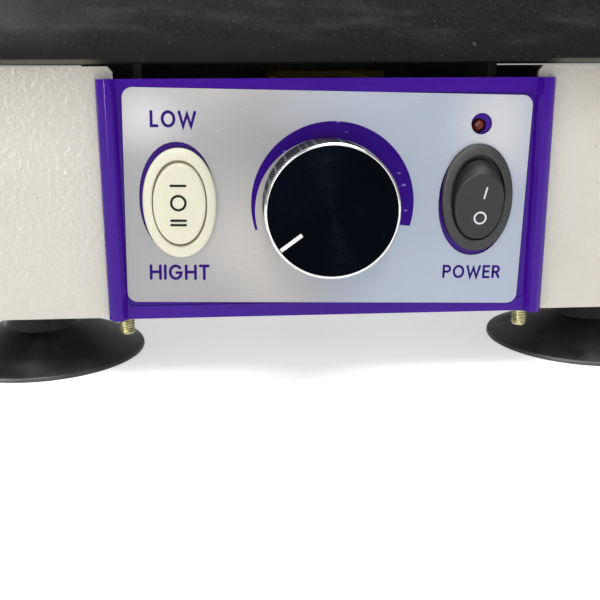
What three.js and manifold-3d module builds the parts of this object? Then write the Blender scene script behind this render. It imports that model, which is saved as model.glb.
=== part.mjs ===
// Bench vibrator with a rubber-covered shaking table, for settling plaster in moulds.
// Units are millimetres: X to the right, Y to the back, Z up.
// The origin is on the bench, in the middle between the knob's face and the fuse drawer's lip.
// Inside the group, Y is counted from the middle of the body.
import * as THREE from 'three';
import { mergeVertices } from 'three/addons/utils/BufferGeometryUtils.js';
import Module from 'manifold-3d';

const wasm = await Module();
wasm.setup();

// Body
const BODY_WIDTH = 250;
const BODY_DEPTH = 200;
const BODY_HEIGHT = 73.4;
const BODY_CORNER = 10;
const SHEET = 1.2;
const BASE_SHEET = 2;
const TOUCH_GAP = 0.3;
const SIDE_FLANGE_HEIGHT = 15;
const SIDE_SCREW_RISE = 8.5;
const SIDE_SCREW_INSET = 10;
const SIDE_SCREW_RADIUS = 1.9;
const FRONT_CUT_SNIP = 1.6;
const VENT_PITCH = 9;
const VENT_WIDTH = 3.4;
const VENT_LENGTH = 26;
const VENT_INSET = 36;

// Feet
const FOOT_HEIGHT = 18.4;
const FOOT_RADIUS = 33.3;
const FOOT_HUB_RADIUS = 9.8;
const FOOT_HUB_HEIGHT = 5;
const FOOT_INSET_X = 32;
const FOOT_INSET_Y = 28.5;
const STUD_RADIUS = 3;
const STUD_LENGTH = 9;
const STUD_SINK = 0.8;
const HUB_THICKNESS = 3.4;
const HUB_ROUNDING = 0.6;
const SKIRT_THICK = 2.6;
const SKIRT_THIN = 1.3;
const SKIRT_CURVE = 1.35;
const SKIRT_LIP = 1.2;

// Shaking table
const SLAB_OVERHANG = 2.5;
const SLAB_HEIGHT = 24;
const SLAB_GAP = 0.6;
const SLAB_BEVEL = 1.7;
const SLAB_CORNER = 12;
const SLAB_POCKET_DEPTH = 8;
const PLATE_THICKNESS = 4;
const PLATE_INSET = 14;
const PLATE_CORNER = 6;
const RIM_WIDTH = 7;
const RIM_HEIGHT = 2;

// Control panel
const PANEL_WIDTH = 132.6;
const PANEL_HEIGHT = 70;
const PANEL_LAP = 5;
const PANEL_FACE = 1.9;
const PANEL_BACK = 0.9;
const RIDGE_HEIGHT = 4.7;
const RIDGE_WIDTH = 5.9;
const RIDGE_CREST = 0.65;
const RECESS_END = 4;
const SWITCH_HOLE_INSET = 3;
const RECESS_DEPTH = 0.4;
const LABEL_THICKNESS = 0.3;
const LABEL_MARGIN_X = 1.3;
const LABEL_MARGIN_Z = 3.8;
const LABEL_CORNER = 3;
const LABEL_SKEW_DEG = 1.43;
const LABEL_SHIFT_X = -0.4;
const LABEL_SHIFT_Z = 0.2;
const LABEL_HOLE_GROWTH = 0.6;
const LABEL_KNOB_HOLE = 8.6;
const LABEL_CLEARANCE = 0.02;
const LAMP_HOLE_X = 44.4;
const LAMP_HOLE_RISE = 22.8;
const LAMP_HOLE_RADIUS = 3.1;

// Controls on the panel
const SWITCH_SPACING = 44;
const BEZEL_WIDTH = 21.3;
const BEZEL_HEIGHT = 31.9;
const BEZEL_PROUD = 1.8;
const OVAL_POWER = 2.08;
const ROCKER_WIDTH = 15;
const ROCKER_RADIUS = 12.1;
const ROCKER_GAP = 0.45;
const ROCKER_SWING_DEG = 10;
const SWITCH_RISE = 0.3;
const KNOB_X = -0.7;
const KNOB_RISE = -0.6;
const KNOB_DIAMETER = 38;
const KNOB_PROUD = 17.8;
const KNOB_CHAMFER = 0.9;
const KNOB_POINTER_DEG = 216;
const SHAFT_RADIUS = 3;
const LAMP_RADIUS = 1.75;
const LAMP_X = 43.9;
const LAMP_RISE = 21.4;

// Electromagnet and springs
const MAGNET_X = 6;
const CORE_STACK = 36;
const CORE_LEG = 10;
const CORE_WINDOW = 13;
const CORE_YOKE = 12;
const CORE_HEIGHT = 61.8;
const AIR_GAP = 2.4;
const ARMATURE_THICKNESS = 3;
const HANGER_X = 60;
const HANGER_LENGTH = 124;
const HANGER_SHEET = 3;
const HANGER_FLANGE = 16;
const STIFFENER_LENGTH = 200;
const STIFFENER_DROP = 9;
const STIFFENER_INSET = 5;
const BUFFER_RADIUS = 10;
const BUFFER_HEIGHT = 22;
const BUFFER_Y = 44;

// Mains inlet
const INLET_X = 62;
const INLET_RISE = 32;
const INLET_WIDTH = 27;
const INLET_HEIGHT = 40;
const INLET_DEPTH = 24;
const INLET_FLANGE = 2.4;
const SOCKET_WIDTH = 24.4;
const SOCKET_HEIGHT = 17;
const SOCKET_DEPTH = 17;
const DRAWER_WIDTH = 23;
const DRAWER_HEIGHT = 8;
const DRAWER_DEPTH = 20;
const DRAWER_LIP = 2;

// Circuit board
const BOARD_X = 102.5;
const BOARD_Y = -8;
const BOARD_WIDTH = 34;
const BOARD_LENGTH = 74;
const BOARD_RISE = 10;
const BOARD_SHEET = 1.6;
const BOARD_CORNER = 1.5;
const BOARD_HOLE_INSET = 4;
const BOARD_HOLE_RADIUS = 1.6;
const STANDOFF_RADIUS = 3;
const STANDOFF_PIN = 1.2;
const SINK_WALL = 2;
const SINK_DEPTH = 11;
const SINK_LENGTH = 26;
const SINK_HEIGHT = 26;
const SINK_FIN_PITCH = 8;
const CAPACITOR_LENGTH = 18;
const CAPACITOR_WIDTH = 8;
const CAPACITOR_HEIGHT = 15;
const TERMINAL_PITCH = 6.2;
const TERMINAL_WIDTH = 10;
const TERMINAL_HEIGHT = 11;
const TERMINAL_WELL = 1.8;
const TERMINAL_WELL_FLOOR = 7;

// Positions that follow from the sizes above
const front = -BODY_DEPTH / 2;
const back = BODY_DEPTH / 2;
const bodyBottom = FOOT_HEIGHT;
const bodyTop = bodyBottom + BODY_HEIGHT;
const floorTop = bodyBottom + BASE_SHEET;
const standing = floorTop + TOUCH_GAP;
const slabBottom = bodyTop + SLAB_GAP;
const slabTop = slabBottom + SLAB_HEIGHT;
const plateTop = slabBottom + SLAB_POCKET_DEPTH - TOUCH_GAP;
const plateBottom = plateTop - PLATE_THICKNESS;
const panelMiddle = bodyBottom + PANEL_HEIGHT / 2;
const panelFace = front - PANEL_FACE;
const panelBack = front + PANEL_BACK;
const labelFace = panelFace - LABEL_THICKNESS - LABEL_CLEARANCE;
const cutHalfWidth = PANEL_WIDTH / 2 - PANEL_LAP;
const labelWidth = PANEL_WIDTH - 2 * (RIDGE_WIDTH + LABEL_MARGIN_X);
const labelHeight = PANEL_HEIGHT - 2 * LABEL_MARGIN_Z;
const footX = BODY_WIDTH / 2 - FOOT_INSET_X;
const footY = BODY_DEPTH / 2 - FOOT_INSET_Y;
const sideScrewY = footY - SIDE_SCREW_INSET;

const paint = (color, roughness, metalness = 0) =>
  new THREE.MeshStandardMaterial({ color, roughness, metalness });
const WHITE_PAINT = paint(0xdedbd2, 0.55);
const BLACK_RUBBER = paint(0x232426, 0.7);
const PURPLE_PLASTIC = paint(0x4a1a98, 0.3);
const SILVER_FILM = paint(0xc2c6d0, 0.35, 0.3);
const IVORY_PLASTIC = paint(0xeeecd7, 0.35);
const BLACK_PLASTIC = paint(0x2a2b2c, 0.4);
const BLACK_ANODISED = paint(0x12141a, 0.3, 0.8);
const BRIGHT_STEEL = paint(0xb9bbbd, 0.35, 1);
const YELLOW_ZINC = paint(0xb8a771, 0.35, 1);
const GREY_STEEL = paint(0x8d9092, 0.45, 0.6);
const CORE_STEEL = paint(0x5b5c5e, 0.6, 0.7);
const YELLOW_TAPE = paint(0xc9c23c, 0.4);
const RED_LENS = paint(0x5a1512, 0.2);
const GREEN_BOARD = paint(0x1d5a38, 0.5);
const BLUE_FILM = paint(0x2f5fae, 0.4);
const GLASS = paint(0xd6e0e0, 0.1);

// ---------- shape helpers ----------

// Turns a closed geometry into a solid that can be cut and joined, whichever way its faces were wound.
function solid(geometry) {
  const bare = geometry.clone();
  bare.deleteAttribute('normal');
  bare.deleteAttribute('uv');
  const merged = mergeVertices(bare, 1e-4);
  const triVerts = new Uint32Array(merged.index.array);
  const vertProperties = new Float32Array(merged.attributes.position.array);
  const made = new wasm.Manifold(new wasm.Mesh({ numProp: 3, vertProperties, triVerts }));
  if (made.volume() > 0) return made;
  triVerts.reverse();
  return new wasm.Manifold(new wasm.Mesh({ numProp: 3, vertProperties, triVerts }));
}

function toGeometry(body) {
  const mesh = body.getMesh();
  const geometry = new THREE.BufferGeometry();
  geometry.setAttribute('position', new THREE.BufferAttribute(mesh.vertProperties, 3));
  geometry.setIndex(new THREE.BufferAttribute(mesh.triVerts, 1));
  geometry.computeVertexNormals();
  return geometry;
}

const joined = (first, ...others) => others.reduce((body, other) => body.add(other), first);
const cut = (body, ...tools) => tools.reduce((rest, tool) => rest.subtract(tool), body);

// A box between two corners.
function block(x0, x1, y0, y1, z0, z1) {
  const geometry = new THREE.BoxGeometry(x1 - x0, y1 - y0, z1 - z0);
  return solid(geometry.translate((x0 + x1) / 2, (y0 + y1) / 2, (z0 + z1) / 2));
}

// An outline drawn in plan, raised from z0 to z1.
function upright(shape, z0, z1, curveSegments = 6) {
  const geometry = new THREE.ExtrudeGeometry(shape, { depth: z1 - z0, bevelEnabled: false, curveSegments });
  return solid(geometry.translate(0, 0, z0));
}

// An outline drawn in front view (x, z), reaching from y0 at the front to y1 at the back.
function frontal(shape, y0, y1, curveSegments = 6) {
  const geometry = new THREE.ExtrudeGeometry(shape, { depth: y1 - y0, bevelEnabled: false, curveSegments });
  return solid(geometry.rotateX(Math.PI / 2).translate(0, y1, 0));
}

// An outline drawn in side view (y, z), reaching from x0 to x1.
function sideways(shape, x0, x1, curveSegments = 8) {
  const geometry = new THREE.ExtrudeGeometry(shape, { depth: x1 - x0, bevelEnabled: false, curveSegments });
  return solid(geometry.rotateX(Math.PI / 2).rotateZ(Math.PI / 2).translate(x0, 0, 0));
}

// A turned piece about a vertical axis: profile points are [radius, z].
function turned(profile, segments = 24) {
  const points = profile.map(([radius, z]) => new THREE.Vector2(radius, z));
  return solid(new THREE.LatheGeometry(points, segments).rotateX(Math.PI / 2));
}

// A turned piece about an axis that runs from front to back: profile points are [radius, y].
function turnedAlongY(profile, x, z, segments = 24) {
  const points = profile.map(([radius, y]) => new THREE.Vector2(radius, y));
  return solid(new THREE.LatheGeometry(points, segments).translate(x, 0, z));
}

// A plain pin about a vertical axis.
const pin = (x, y, radius, z0, z1, segments = 12) =>
  turned([[0, z0], [radius, z0], [radius, z1], [0, z1]], segments).translate([x, y, 0]);

// A plain pin that runs from front to back.
const pinAlongY = (x, z, radius, y0, y1, segments = 12) =>
  turnedAlongY([[0, y0], [radius, y0], [radius, y1], [0, y1]], x, z, segments);

// A plain pin that runs from left to right.
function pinAlongX(y, z, radius, x0, x1, segments = 12) {
  const geometry = new THREE.CylinderGeometry(radius, radius, x1 - x0, segments);
  return solid(geometry.rotateZ(Math.PI / 2).translate((x0 + x1) / 2, y, z));
}

function roundedRectangle(width, height, radius, cx = 0, cy = 0) {
  const shape = new THREE.Shape();
  const w = width / 2 - radius;
  const h = height / 2 - radius;
  shape.absarc(cx + w, cy + h, radius, 0, Math.PI / 2, false);
  shape.absarc(cx - w, cy + h, radius, Math.PI / 2, Math.PI, false);
  shape.absarc(cx - w, cy - h, radius, Math.PI, Math.PI * 1.5, false);
  shape.absarc(cx + w, cy - h, radius, Math.PI * 1.5, Math.PI * 2, false);
  return shape;
}

// The flat-sided oval of the switch bezels.
function oval(width, height, cx, cy, segments = 40) {
  const outline = [];
  for (let step = 0; step < segments; step += 1) {
    const angle = (step / segments) * Math.PI * 2;
    const c = Math.cos(angle);
    const s = Math.sin(angle);
    const x = Math.sign(c) * Math.abs(c) ** (2 / OVAL_POWER) * width / 2;
    const y = Math.sign(s) * Math.abs(s) ** (2 / OVAL_POWER) * height / 2;
    outline.push(new THREE.Vector2(cx + x, cy + y));
  }
  return new THREE.Shape(outline);
}

const polygon = (points) => new THREE.Shape(points.map(([x, y]) => new THREE.Vector2(x, y)));

const group = new THREE.Group();

function add(name, body, material) {
  const mesh = new THREE.Mesh(toGeometry(body), material);
  mesh.name = name;
  group.add(mesh);
}

// The four places that mirror each other across the middle of the body.
const corners = (x, y) => [
  ['front_left', -x, -y],
  ['front_right', x, -y],
  ['rear_left', -x, y],
  ['rear_right', x, y],
];

// ---------- housing and base ----------

// The painted sleeve: four walls bent from sheet, with the front wall cut away behind the panel.
function housing() {
  const outer = upright(roundedRectangle(BODY_WIDTH, BODY_DEPTH, BODY_CORNER), bodyBottom, bodyTop, 6);
  const hollow = roundedRectangle(BODY_WIDTH - 2 * SHEET, BODY_DEPTH - 2 * SHEET, BODY_CORNER - SHEET);
  const frontCut = polygon([
    [-cutHalfWidth, bodyBottom - 1],
    [cutHalfWidth, bodyBottom - 1],
    [cutHalfWidth, bodyTop - FRONT_CUT_SNIP],
    [cutHalfWidth + FRONT_CUT_SNIP, bodyTop + TOUCH_GAP],
    [-cutHalfWidth - FRONT_CUT_SNIP, bodyTop + TOUCH_GAP],
    [-cutHalfWidth, bodyTop - FRONT_CUT_SNIP],
  ]);
  const inletWidth = INLET_WIDTH + 2 * TOUCH_GAP;
  const inletCut = roundedRectangle(inletWidth, INLET_HEIGHT + 2 * TOUCH_GAP, 2, INLET_X, inletZ);
  const screwHoles = corners(BODY_WIDTH / 2, sideScrewY).map(([, x, y]) =>
    pinAlongX(y, bodyBottom + SIDE_SCREW_RISE, SIDE_SCREW_RADIUS + TOUCH_GAP, x - 2 * SHEET, x + 2 * SHEET));
  return cut(
    outer,
    upright(hollow, bodyBottom - 1, bodyTop + 1, 6),
    frontal(frontCut, front - 1, front + 2 * SHEET),
    frontal(inletCut, back - 2 * SHEET, back + 1),
    ...screwHoles,
  );
}

// The steel floor: a plate with turned-up side flanges, vent slots and the holes for everything bolted to it.
function basePlate() {
  const width = BODY_WIDTH - 2 * SHEET - 2 * TOUCH_GAP;
  const depth = BODY_DEPTH - 2 * SHEET - 2 * TOUCH_GAP;
  const outline = roundedRectangle(width, depth, BODY_CORNER - SHEET - TOUCH_GAP);
  const plate = upright(outline, bodyBottom, floorTop, 4);
  const flangeTop = bodyBottom + SIDE_FLANGE_HEIGHT;
  const flangeHalf = BODY_DEPTH / 2 - 2 * BODY_CORNER;
  const flanges = [-1, 1].map((side) => {
    const wall = side * width / 2;
    const inner = wall - side * BASE_SHEET;
    const [low, high] = [Math.min(wall, inner), Math.max(wall, inner)];
    return block(low, high, -flangeHalf, flangeHalf, bodyBottom, flangeTop);
  });
  const holes = corners(footX, footY).map(([, x, y]) =>
    pin(x, y, STUD_RADIUS + TOUCH_GAP, bodyBottom - 1, floorTop + 1));
  panelScrewPlaces.forEach(([, x, y]) =>
    holes.push(pin(x, y, PANEL_SCREW_RADIUS + TOUCH_GAP, bodyBottom - 1, floorTop + 1)));
  magnetBoltPlaces.forEach(([, x, y]) =>
    holes.push(pin(x, y, MAGNET_BOLT_RADIUS + TOUCH_GAP, bodyBottom - 1, floorTop + 1)));
  for (let row = -1; row <= 1; row += 2) {
    for (let slot = -1; slot <= 1; slot += 1) {
      const ventY = row * (BODY_DEPTH / 2 - VENT_INSET);
      const vent = roundedRectangle(VENT_WIDTH, VENT_LENGTH, VENT_WIDTH / 2, slot * VENT_PITCH, ventY);
      holes.push(upright(vent, bodyBottom - 1, floorTop + 1, 2));
    }
  }
  const screwHoles = corners(BODY_WIDTH / 2 - SHEET, sideScrewY).map(([, x, y]) =>
    pinAlongX(y, bodyBottom + SIDE_SCREW_RISE, SIDE_SCREW_RADIUS + TOUCH_GAP, x - 4, x + 4));
  return cut(joined(plate, ...flanges), ...holes, ...screwHoles);
}

// A pan-head screw that goes in from the side wall.
function sideScrew(x, y) {
  const side = Math.sign(x);
  const seat = BODY_WIDTH / 2 + TOUCH_GAP;
  const profile = [
    [0, seat - 8],
    [SIDE_SCREW_RADIUS, seat - 8],
    [SIDE_SCREW_RADIUS, seat],
    [3.6, seat],
    [3.4, seat + 1.2],
    [2.4, seat + 1.9],
    [0, seat + 2.1],
  ].map(([radius, reach]) => new THREE.Vector2(radius, reach));
  const z = bodyBottom + SIDE_SCREW_RISE;
  const shank = new THREE.LatheGeometry(profile, 14).rotateZ(-Math.PI / 2);
  if (side < 0) shank.rotateZ(Math.PI);
  const slot = block(seat + 1.1, seat + 3, -0.5, 0.5, -4, 4);
  const cross = block(seat + 1.1, seat + 3, -2, 2, -0.5, 0.5);
  const recess = joined(slot.intersect(block(seat, seat + 3, -1, 1, -2, 2)), cross);
  const turnedRecess = side < 0 ? recess.rotate([0, 0, 180]) : recess;
  return cut(solid(shank), turnedRecess).translate([0, y, z]);
}

// ---------- feet ----------

// A suction foot, flattened a little by the weight of the machine. It is hollow and open below.
function suctionFoot() {
  const hubTop = bodyBottom - TOUCH_GAP;
  const hubBottom = bodyBottom - FOOT_HUB_HEIGHT;
  const domeRise = hubBottom - HUB_THICKNESS;
  const skirtSteps = 6;
  const wall = (share) => SKIRT_THICK - (SKIRT_THICK - SKIRT_THIN) * share;
  const dome = (share) => domeRise * (1 - share ** SKIRT_CURVE);
  const inside = [];
  const outside = [];
  for (let step = 0; step <= skirtSteps; step += 1) {
    const share = step / skirtSteps;
    const radius = share * (FOOT_RADIUS - SKIRT_LIP);
    inside.push([radius, dome(share)]);
    outside.push([radius + 0.75 * SKIRT_LIP * share, dome(share) + wall(share)]);
  }
  const firstSkirtStep = 3;
  const profile = [
    ...inside,
    [FOOT_RADIUS, 0],
    [FOOT_RADIUS, SKIRT_LIP / 2],
    ...outside.slice(firstSkirtStep).reverse(),
    [FOOT_HUB_RADIUS + 2 * HUB_ROUNDING, hubBottom - HUB_ROUNDING],
    [FOOT_HUB_RADIUS, hubBottom + HUB_ROUNDING],
    [FOOT_HUB_RADIUS, hubTop - HUB_ROUNDING],
    [FOOT_HUB_RADIUS - HUB_ROUNDING, hubTop],
    [STUD_RADIUS + TOUCH_GAP, hubTop],
    [STUD_RADIUS + TOUCH_GAP, hubBottom - STUD_SINK],
    [0, hubBottom - STUD_SINK],
  ];
  return turned(profile, 32);
}

// The threaded stud that is moulded into the foot and comes up through the floor.
function footStud() {
  const low = bodyBottom - FOOT_HUB_HEIGHT - STUD_SINK + TOUCH_GAP;
  const high = floorTop + STUD_LENGTH;
  return pin(0, 0, STUD_RADIUS, low, high, 10);
}

const FOOT_NUT_RADIUS = 5.8;
const FOOT_NUT_HEIGHT = 5.5;
const FOOT_NUT_FLANGE = 7;
const FOOT_NUT_SHEET = 1.2;

// The flanged nut that holds the foot.
function footNut() {
  const hexagon = new THREE.Shape();
  for (let side = 0; side < 6; side += 1) {
    const angle = side * Math.PI / 3;
    const x = FOOT_NUT_RADIUS * Math.cos(angle);
    const y = FOOT_NUT_RADIUS * Math.sin(angle);
    if (side === 0) hexagon.moveTo(x, y);
    else hexagon.lineTo(x, y);
  }
  const top = standing + FOOT_NUT_HEIGHT;
  const flange = pin(0, 0, FOOT_NUT_FLANGE, standing, standing + FOOT_NUT_SHEET, 14);
  const nut = joined(flange, upright(hexagon, standing + FOOT_NUT_SHEET / 2, top));
  return cut(nut, pin(0, 0, STUD_RADIUS + TOUCH_GAP, standing - 1, top + 1, 10));
}

// ---------- control panel ----------

const PANEL_SCREW_RADIUS = 2.45;
const LUG_BACK = 10;
const LUG_NECK = 8;
const LUG_REACH = 4;
const LUG_HEIGHT = 12;
const SCREW_FROM_EDGE = 0.6;
const SCREW_FROM_WALL = 4.3;
const SCREW_TIP_DROP = 4.2;
const THREAD_LENGTH = 4.6;
const THREAD_PITCH = 0.8;
const THREAD_DEPTH = 0.35;
const SCREW_HEAD_RADIUS = 4.2;
const SCREW_HEAD_HEIGHT = 2.8;
const lugX = cutHalfWidth + SCREW_FROM_EDGE;
const lugY = front + SHEET + SCREW_FROM_WALL;
const panelScrewPlaces = [['left', -lugX, lugY], ['right', lugX, lugY]];
const lugTop = standing + LUG_HEIGHT;
const switchZ = panelMiddle + SWITCH_RISE;
const knobZ = panelMiddle + KNOB_RISE;
const lampZ = panelMiddle + LAMP_RISE;

// Half of the panel's outline in plan: the round ridge along its side, from the wall to the flat face.
function ridgeOutline(side) {
  const outer = PANEL_WIDTH / 2;
  const ridge = front - RIDGE_HEIGHT;
  const crest = outer - RIDGE_CREST * RIDGE_WIDTH;
  const wallFace = front - TOUCH_GAP;
  const shape = new THREE.Shape();
  shape.moveTo(side * outer, wallFace);
  shape.quadraticCurveTo(side * (outer - 0.2), ridge + 1.6, side * (crest + 0.9), ridge + 0.12);
  shape.quadraticCurveTo(side * crest, ridge - 0.12, side * (crest - 0.8), ridge + 0.25);
  shape.lineTo(side * (outer - RIDGE_WIDTH), panelFace);
  shape.lineTo(side * (cutHalfWidth - TOUCH_GAP - 4), panelFace);
  shape.lineTo(side * (cutHalfWidth - TOUCH_GAP - 4), wallFace);
  shape.closePath();
  return shape;
}

// The moulded purple panel: a flat face between two ridges, with lugs that grip the wall from behind.
function controlPanel() {
  const low = bodyBottom;
  const high = bodyBottom + PANEL_HEIGHT;
  const inside = cutHalfWidth - TOUCH_GAP;
  const face = block(-inside, inside, panelFace, panelBack, low, high);
  const ridges = [-1, 1].map((side) => upright(ridgeOutline(side), low, high, 5));
  const lugs = [-1, 1].map((side) => {
    const neckIn = side * (inside - LUG_NECK);
    const neckOut = side * inside;
    const hookOut = side * (lugX + LUG_REACH);
    const wallBack = front + SHEET + TOUCH_GAP;
    const ends = (a, b) => [Math.min(a, b), Math.max(a, b)];
    const neck = block(...ends(neckIn, neckOut), panelBack - TOUCH_GAP, front + LUG_BACK, standing, lugTop);
    const hook = block(...ends(neckIn, hookOut), wallBack, front + LUG_BACK, standing, lugTop);
    return joined(neck, hook);
  });
  const recessWidth = PANEL_WIDTH - 2 * RIDGE_WIDTH;
  const recess = roundedRectangle(recessWidth, PANEL_HEIGHT - 2 * RECESS_END, 2, 0, panelMiddle);
  const switchHoles = [-1, 1].map((side) => {
    const width = BEZEL_WIDTH - SWITCH_HOLE_INSET;
    const hole = oval(width, BEZEL_HEIGHT - SWITCH_HOLE_INSET, side * SWITCH_SPACING, switchZ);
    return frontal(hole, panelFace - 1, panelBack + 1);
  });
  const screwHoles = panelScrewPlaces.map(([, x, y]) =>
    pin(x, y, PANEL_SCREW_RADIUS + TOUCH_GAP, standing - 1, lugTop + 1));
  return cut(
    joined(face, ...ridges, ...lugs),
    frontal(recess, panelFace - 1, panelFace + RECESS_DEPTH, 3),
    ...switchHoles,
    ...screwHoles,
    pinAlongY(KNOB_X, knobZ, BUSH_RADIUS + TOUCH_GAP, panelFace - 2, panelBack + 2, 20),
    pinAlongY(LAMP_X, lampZ, LAMP_RADIUS + 0.45, panelFace - 2, panelBack + 2, 20),
  );
}

// The printed film, stuck on by hand and so turned a little.
function panelLabel() {
  const outline = roundedRectangle(labelWidth, labelHeight, LABEL_CORNER);
  const sheet = frontal(outline, labelFace, labelFace + LABEL_THICKNESS);
  const ovalHoles = [-1, 1].map((side) => {
    const width = BEZEL_WIDTH + LABEL_HOLE_GROWTH;
    const hole = oval(width, BEZEL_HEIGHT + LABEL_HOLE_GROWTH, side * SWITCH_SPACING, 0);
    return frontal(hole, labelFace - 1, labelFace + 1);
  });
  const lampHole = pinAlongY(LAMP_HOLE_X, LAMP_HOLE_RISE, LAMP_HOLE_RADIUS, labelFace - 1, labelFace + 1, 28);
  const knobHole = pinAlongY(0, 0, LABEL_KNOB_HOLE, labelFace - 1, labelFace + 1, 28);
  return cut(sheet, ...ovalHoles, lampHole, knobHole)
    .rotate([0, LABEL_SKEW_DEG, 0])
    .translate([LABEL_SHIFT_X, 0, panelMiddle + LABEL_SHIFT_Z]);
}

// The screw that ties a panel lug to the floor; its threaded end shows below the body.
function panelScrew() {
  const seat = lugTop + TOUCH_GAP;
  const tip = bodyBottom - SCREW_TIP_DROP;
  const threadStart = tip + THREAD_PITCH / 2;
  const turns = Math.round(THREAD_LENGTH / THREAD_PITCH);
  const profile = [[0, tip], [PANEL_SCREW_RADIUS - 2 * THREAD_DEPTH, tip]];
  for (let turn = 0; turn < turns; turn += 1) {
    const z = threadStart + turn * THREAD_PITCH;
    profile.push([PANEL_SCREW_RADIUS, z], [PANEL_SCREW_RADIUS - THREAD_DEPTH, z + THREAD_PITCH / 2]);
  }
  profile.push(
    [PANEL_SCREW_RADIUS, threadStart + turns * THREAD_PITCH],
    [PANEL_SCREW_RADIUS, seat],
    [SCREW_HEAD_RADIUS, seat],
    [SCREW_HEAD_RADIUS, seat + 0.7 * SCREW_HEAD_HEIGHT],
    [0.7 * SCREW_HEAD_RADIUS, seat + SCREW_HEAD_HEIGHT],
    [0, seat + SCREW_HEAD_HEIGHT],
  );
  return turned(profile, 16);
}

// ---------- rocker switches ----------

const SWITCH_BODY_DEPTH = 17;
const SWITCH_CAN_HALF_WIDTH = 8.4;
const SWITCH_CAN_HALF_HEIGHT = 13.7;
const BEZEL_STEP = 0.9;
const BEZEL_EDGE = 0.6;
const BEZEL_SEAT = 0.1;
const BEZEL_NECK = 3.6;
const BLADE_THICKNESS = 0.8;
const BLADE_WIDTH = 4.8;
const BLADE_LENGTH = 8;
const BLADE_PITCH = 8;
const ROCKER_DROP = 7;
const ROCKER_BACK_INSET = 2;
const WELL_SPARE = 3;

// For each rocker: its pivot behind the label, its face in front of the pivot, the dish of the face, and
// how far it is tilted at rest.
const SPEED_ROCKER = { x: -SWITCH_SPACING, pivot: 1.6, crown: 4.3, dish: 0.5, tilt: 0 };
const POWER_ROCKER = { x: SWITCH_SPACING, pivot: 2.5, crown: 7.2, dish: 1.1, tilt: ROCKER_SWING_DEG };

// The bezel and body of a rocker switch, with a well for the rocker and two rows of terminals behind.
function switchBody({ x, pivot }, terminals) {
  const bezelBack = labelFace - BEZEL_SEAT;
  const bezelFront = labelFace - BEZEL_PROUD;
  const bodyBack = panelBack + SWITCH_BODY_DEPTH;
  const can = block(
    x - SWITCH_CAN_HALF_WIDTH,
    x + SWITCH_CAN_HALF_WIDTH,
    panelBack + TOUCH_GAP,
    bodyBack,
    switchZ - SWITCH_CAN_HALF_HEIGHT,
    switchZ + SWITCH_CAN_HALF_HEIGHT,
  );
  const blades = [];
  for (let index = 0; index < terminals; index += 1) {
    const z = switchZ + (index - (terminals - 1) / 2) * BLADE_PITCH;
    const thin = BLADE_THICKNESS / 2;
    const wide = BLADE_WIDTH / 2;
    blades.push(block(x - thin, x + thin, bodyBack - 1, bodyBack + BLADE_LENGTH, z - wide, z + wide));
  }
  const edge = oval(BEZEL_WIDTH, BEZEL_HEIGHT, x, switchZ);
  const step = oval(BEZEL_WIDTH - BEZEL_STEP, BEZEL_HEIGHT - BEZEL_STEP, x, switchZ);
  const neck = oval(BEZEL_WIDTH - BEZEL_NECK, BEZEL_HEIGHT - BEZEL_NECK, x, switchZ);
  const body = joined(
    frontal(edge, bezelFront + BEZEL_EDGE, bezelBack),
    frontal(step, bezelFront, bezelBack),
    frontal(neck, bezelFront + 1, panelBack + 1),
    can,
    ...blades,
  );
  const window = oval(ROCKER_WIDTH + 2 * ROCKER_GAP, 2 * (ROCKER_RADIUS + ROCKER_GAP), x, switchZ);
  const wellBack = labelFace + pivot + ROCKER_DROP + WELL_SPARE;
  return cut(body, frontal(window, bezelFront - 1, wellBack));
}

// The rocker: a drum that turns on its middle, with a dished face. It is trimmed so that it stays
// inside its oval window from one end of its swing to the other.
function rocker({ x, pivot, crown, dish, tilt }) {
  const reach = Math.sqrt(ROCKER_RADIUS ** 2 - crown ** 2);
  const faceSteps = 8;
  const shape = new THREE.Shape();
  shape.moveTo(-crown, -reach);
  for (let step = 1; step <= faceSteps; step += 1) {
    const share = step / faceSteps;
    shape.lineTo(-crown + dish * 4 * share * (1 - share), reach * (2 * share - 1));
  }
  const start = Math.atan2(reach, -crown);
  const end = Math.asin((ROCKER_RADIUS - ROCKER_BACK_INSET) / ROCKER_RADIUS);
  shape.absarc(0, 0, ROCKER_RADIUS, start, end, true);
  shape.lineTo(ROCKER_DROP, 0);
  shape.absarc(0, 0, ROCKER_RADIUS, -end, -start, true);
  const drum = sideways(shape, -ROCKER_WIDTH / 2, ROCKER_WIDTH / 2, 6);
  const window = oval(ROCKER_WIDTH, 2 * ROCKER_RADIUS, 0, 0, 36);
  const outline = frontal(window, -2 * ROCKER_RADIUS, 2 * ROCKER_RADIUS);
  const sweeps = [-ROCKER_SWING_DEG, ROCKER_SWING_DEG].map((angle) => outline.rotate([angle, 0, 0]));
  const shaped = sweeps.reduce((body, sweep) => body.intersect(sweep), drum);
  return shaped.rotate([tilt, 0, 0]).translate([x, labelFace + pivot, switchZ]);
}

// ---------- knob and potentiometer ----------

const BUSH_RADIUS = 4.4;
const KNOB_STANDOFF = 1.2;
const knobFront = labelFace - KNOB_PROUD;
const knobBack = labelFace - KNOB_STANDOFF;
const POT_RADIUS = 12;
const POT_DEPTH = 10;
const KNOB_HOLLOW = 5;
const KNOB_HOLLOW_RADIUS = 9;
const KNOB_CROWN = 4;
const GRUB_RADIUS = 1.5;
const KNOB_EDGE = 0.4;
const KNOB_FACE_DEPTH = 0.12;
const POINTER_START = 0.58;
const POINTER_WIDTH = 1.1;
const POINTER_DEPTH = 0.42;
const NUT_RADIUS = 6.6;
const NUT_HEIGHT = 2.4;
const WASHER_RADIUS = 7;
const WASHER_THICKNESS = 0.8;
const BUSH_PROUD = 4;
const SHAFT_ROOT = 2.4;

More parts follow.
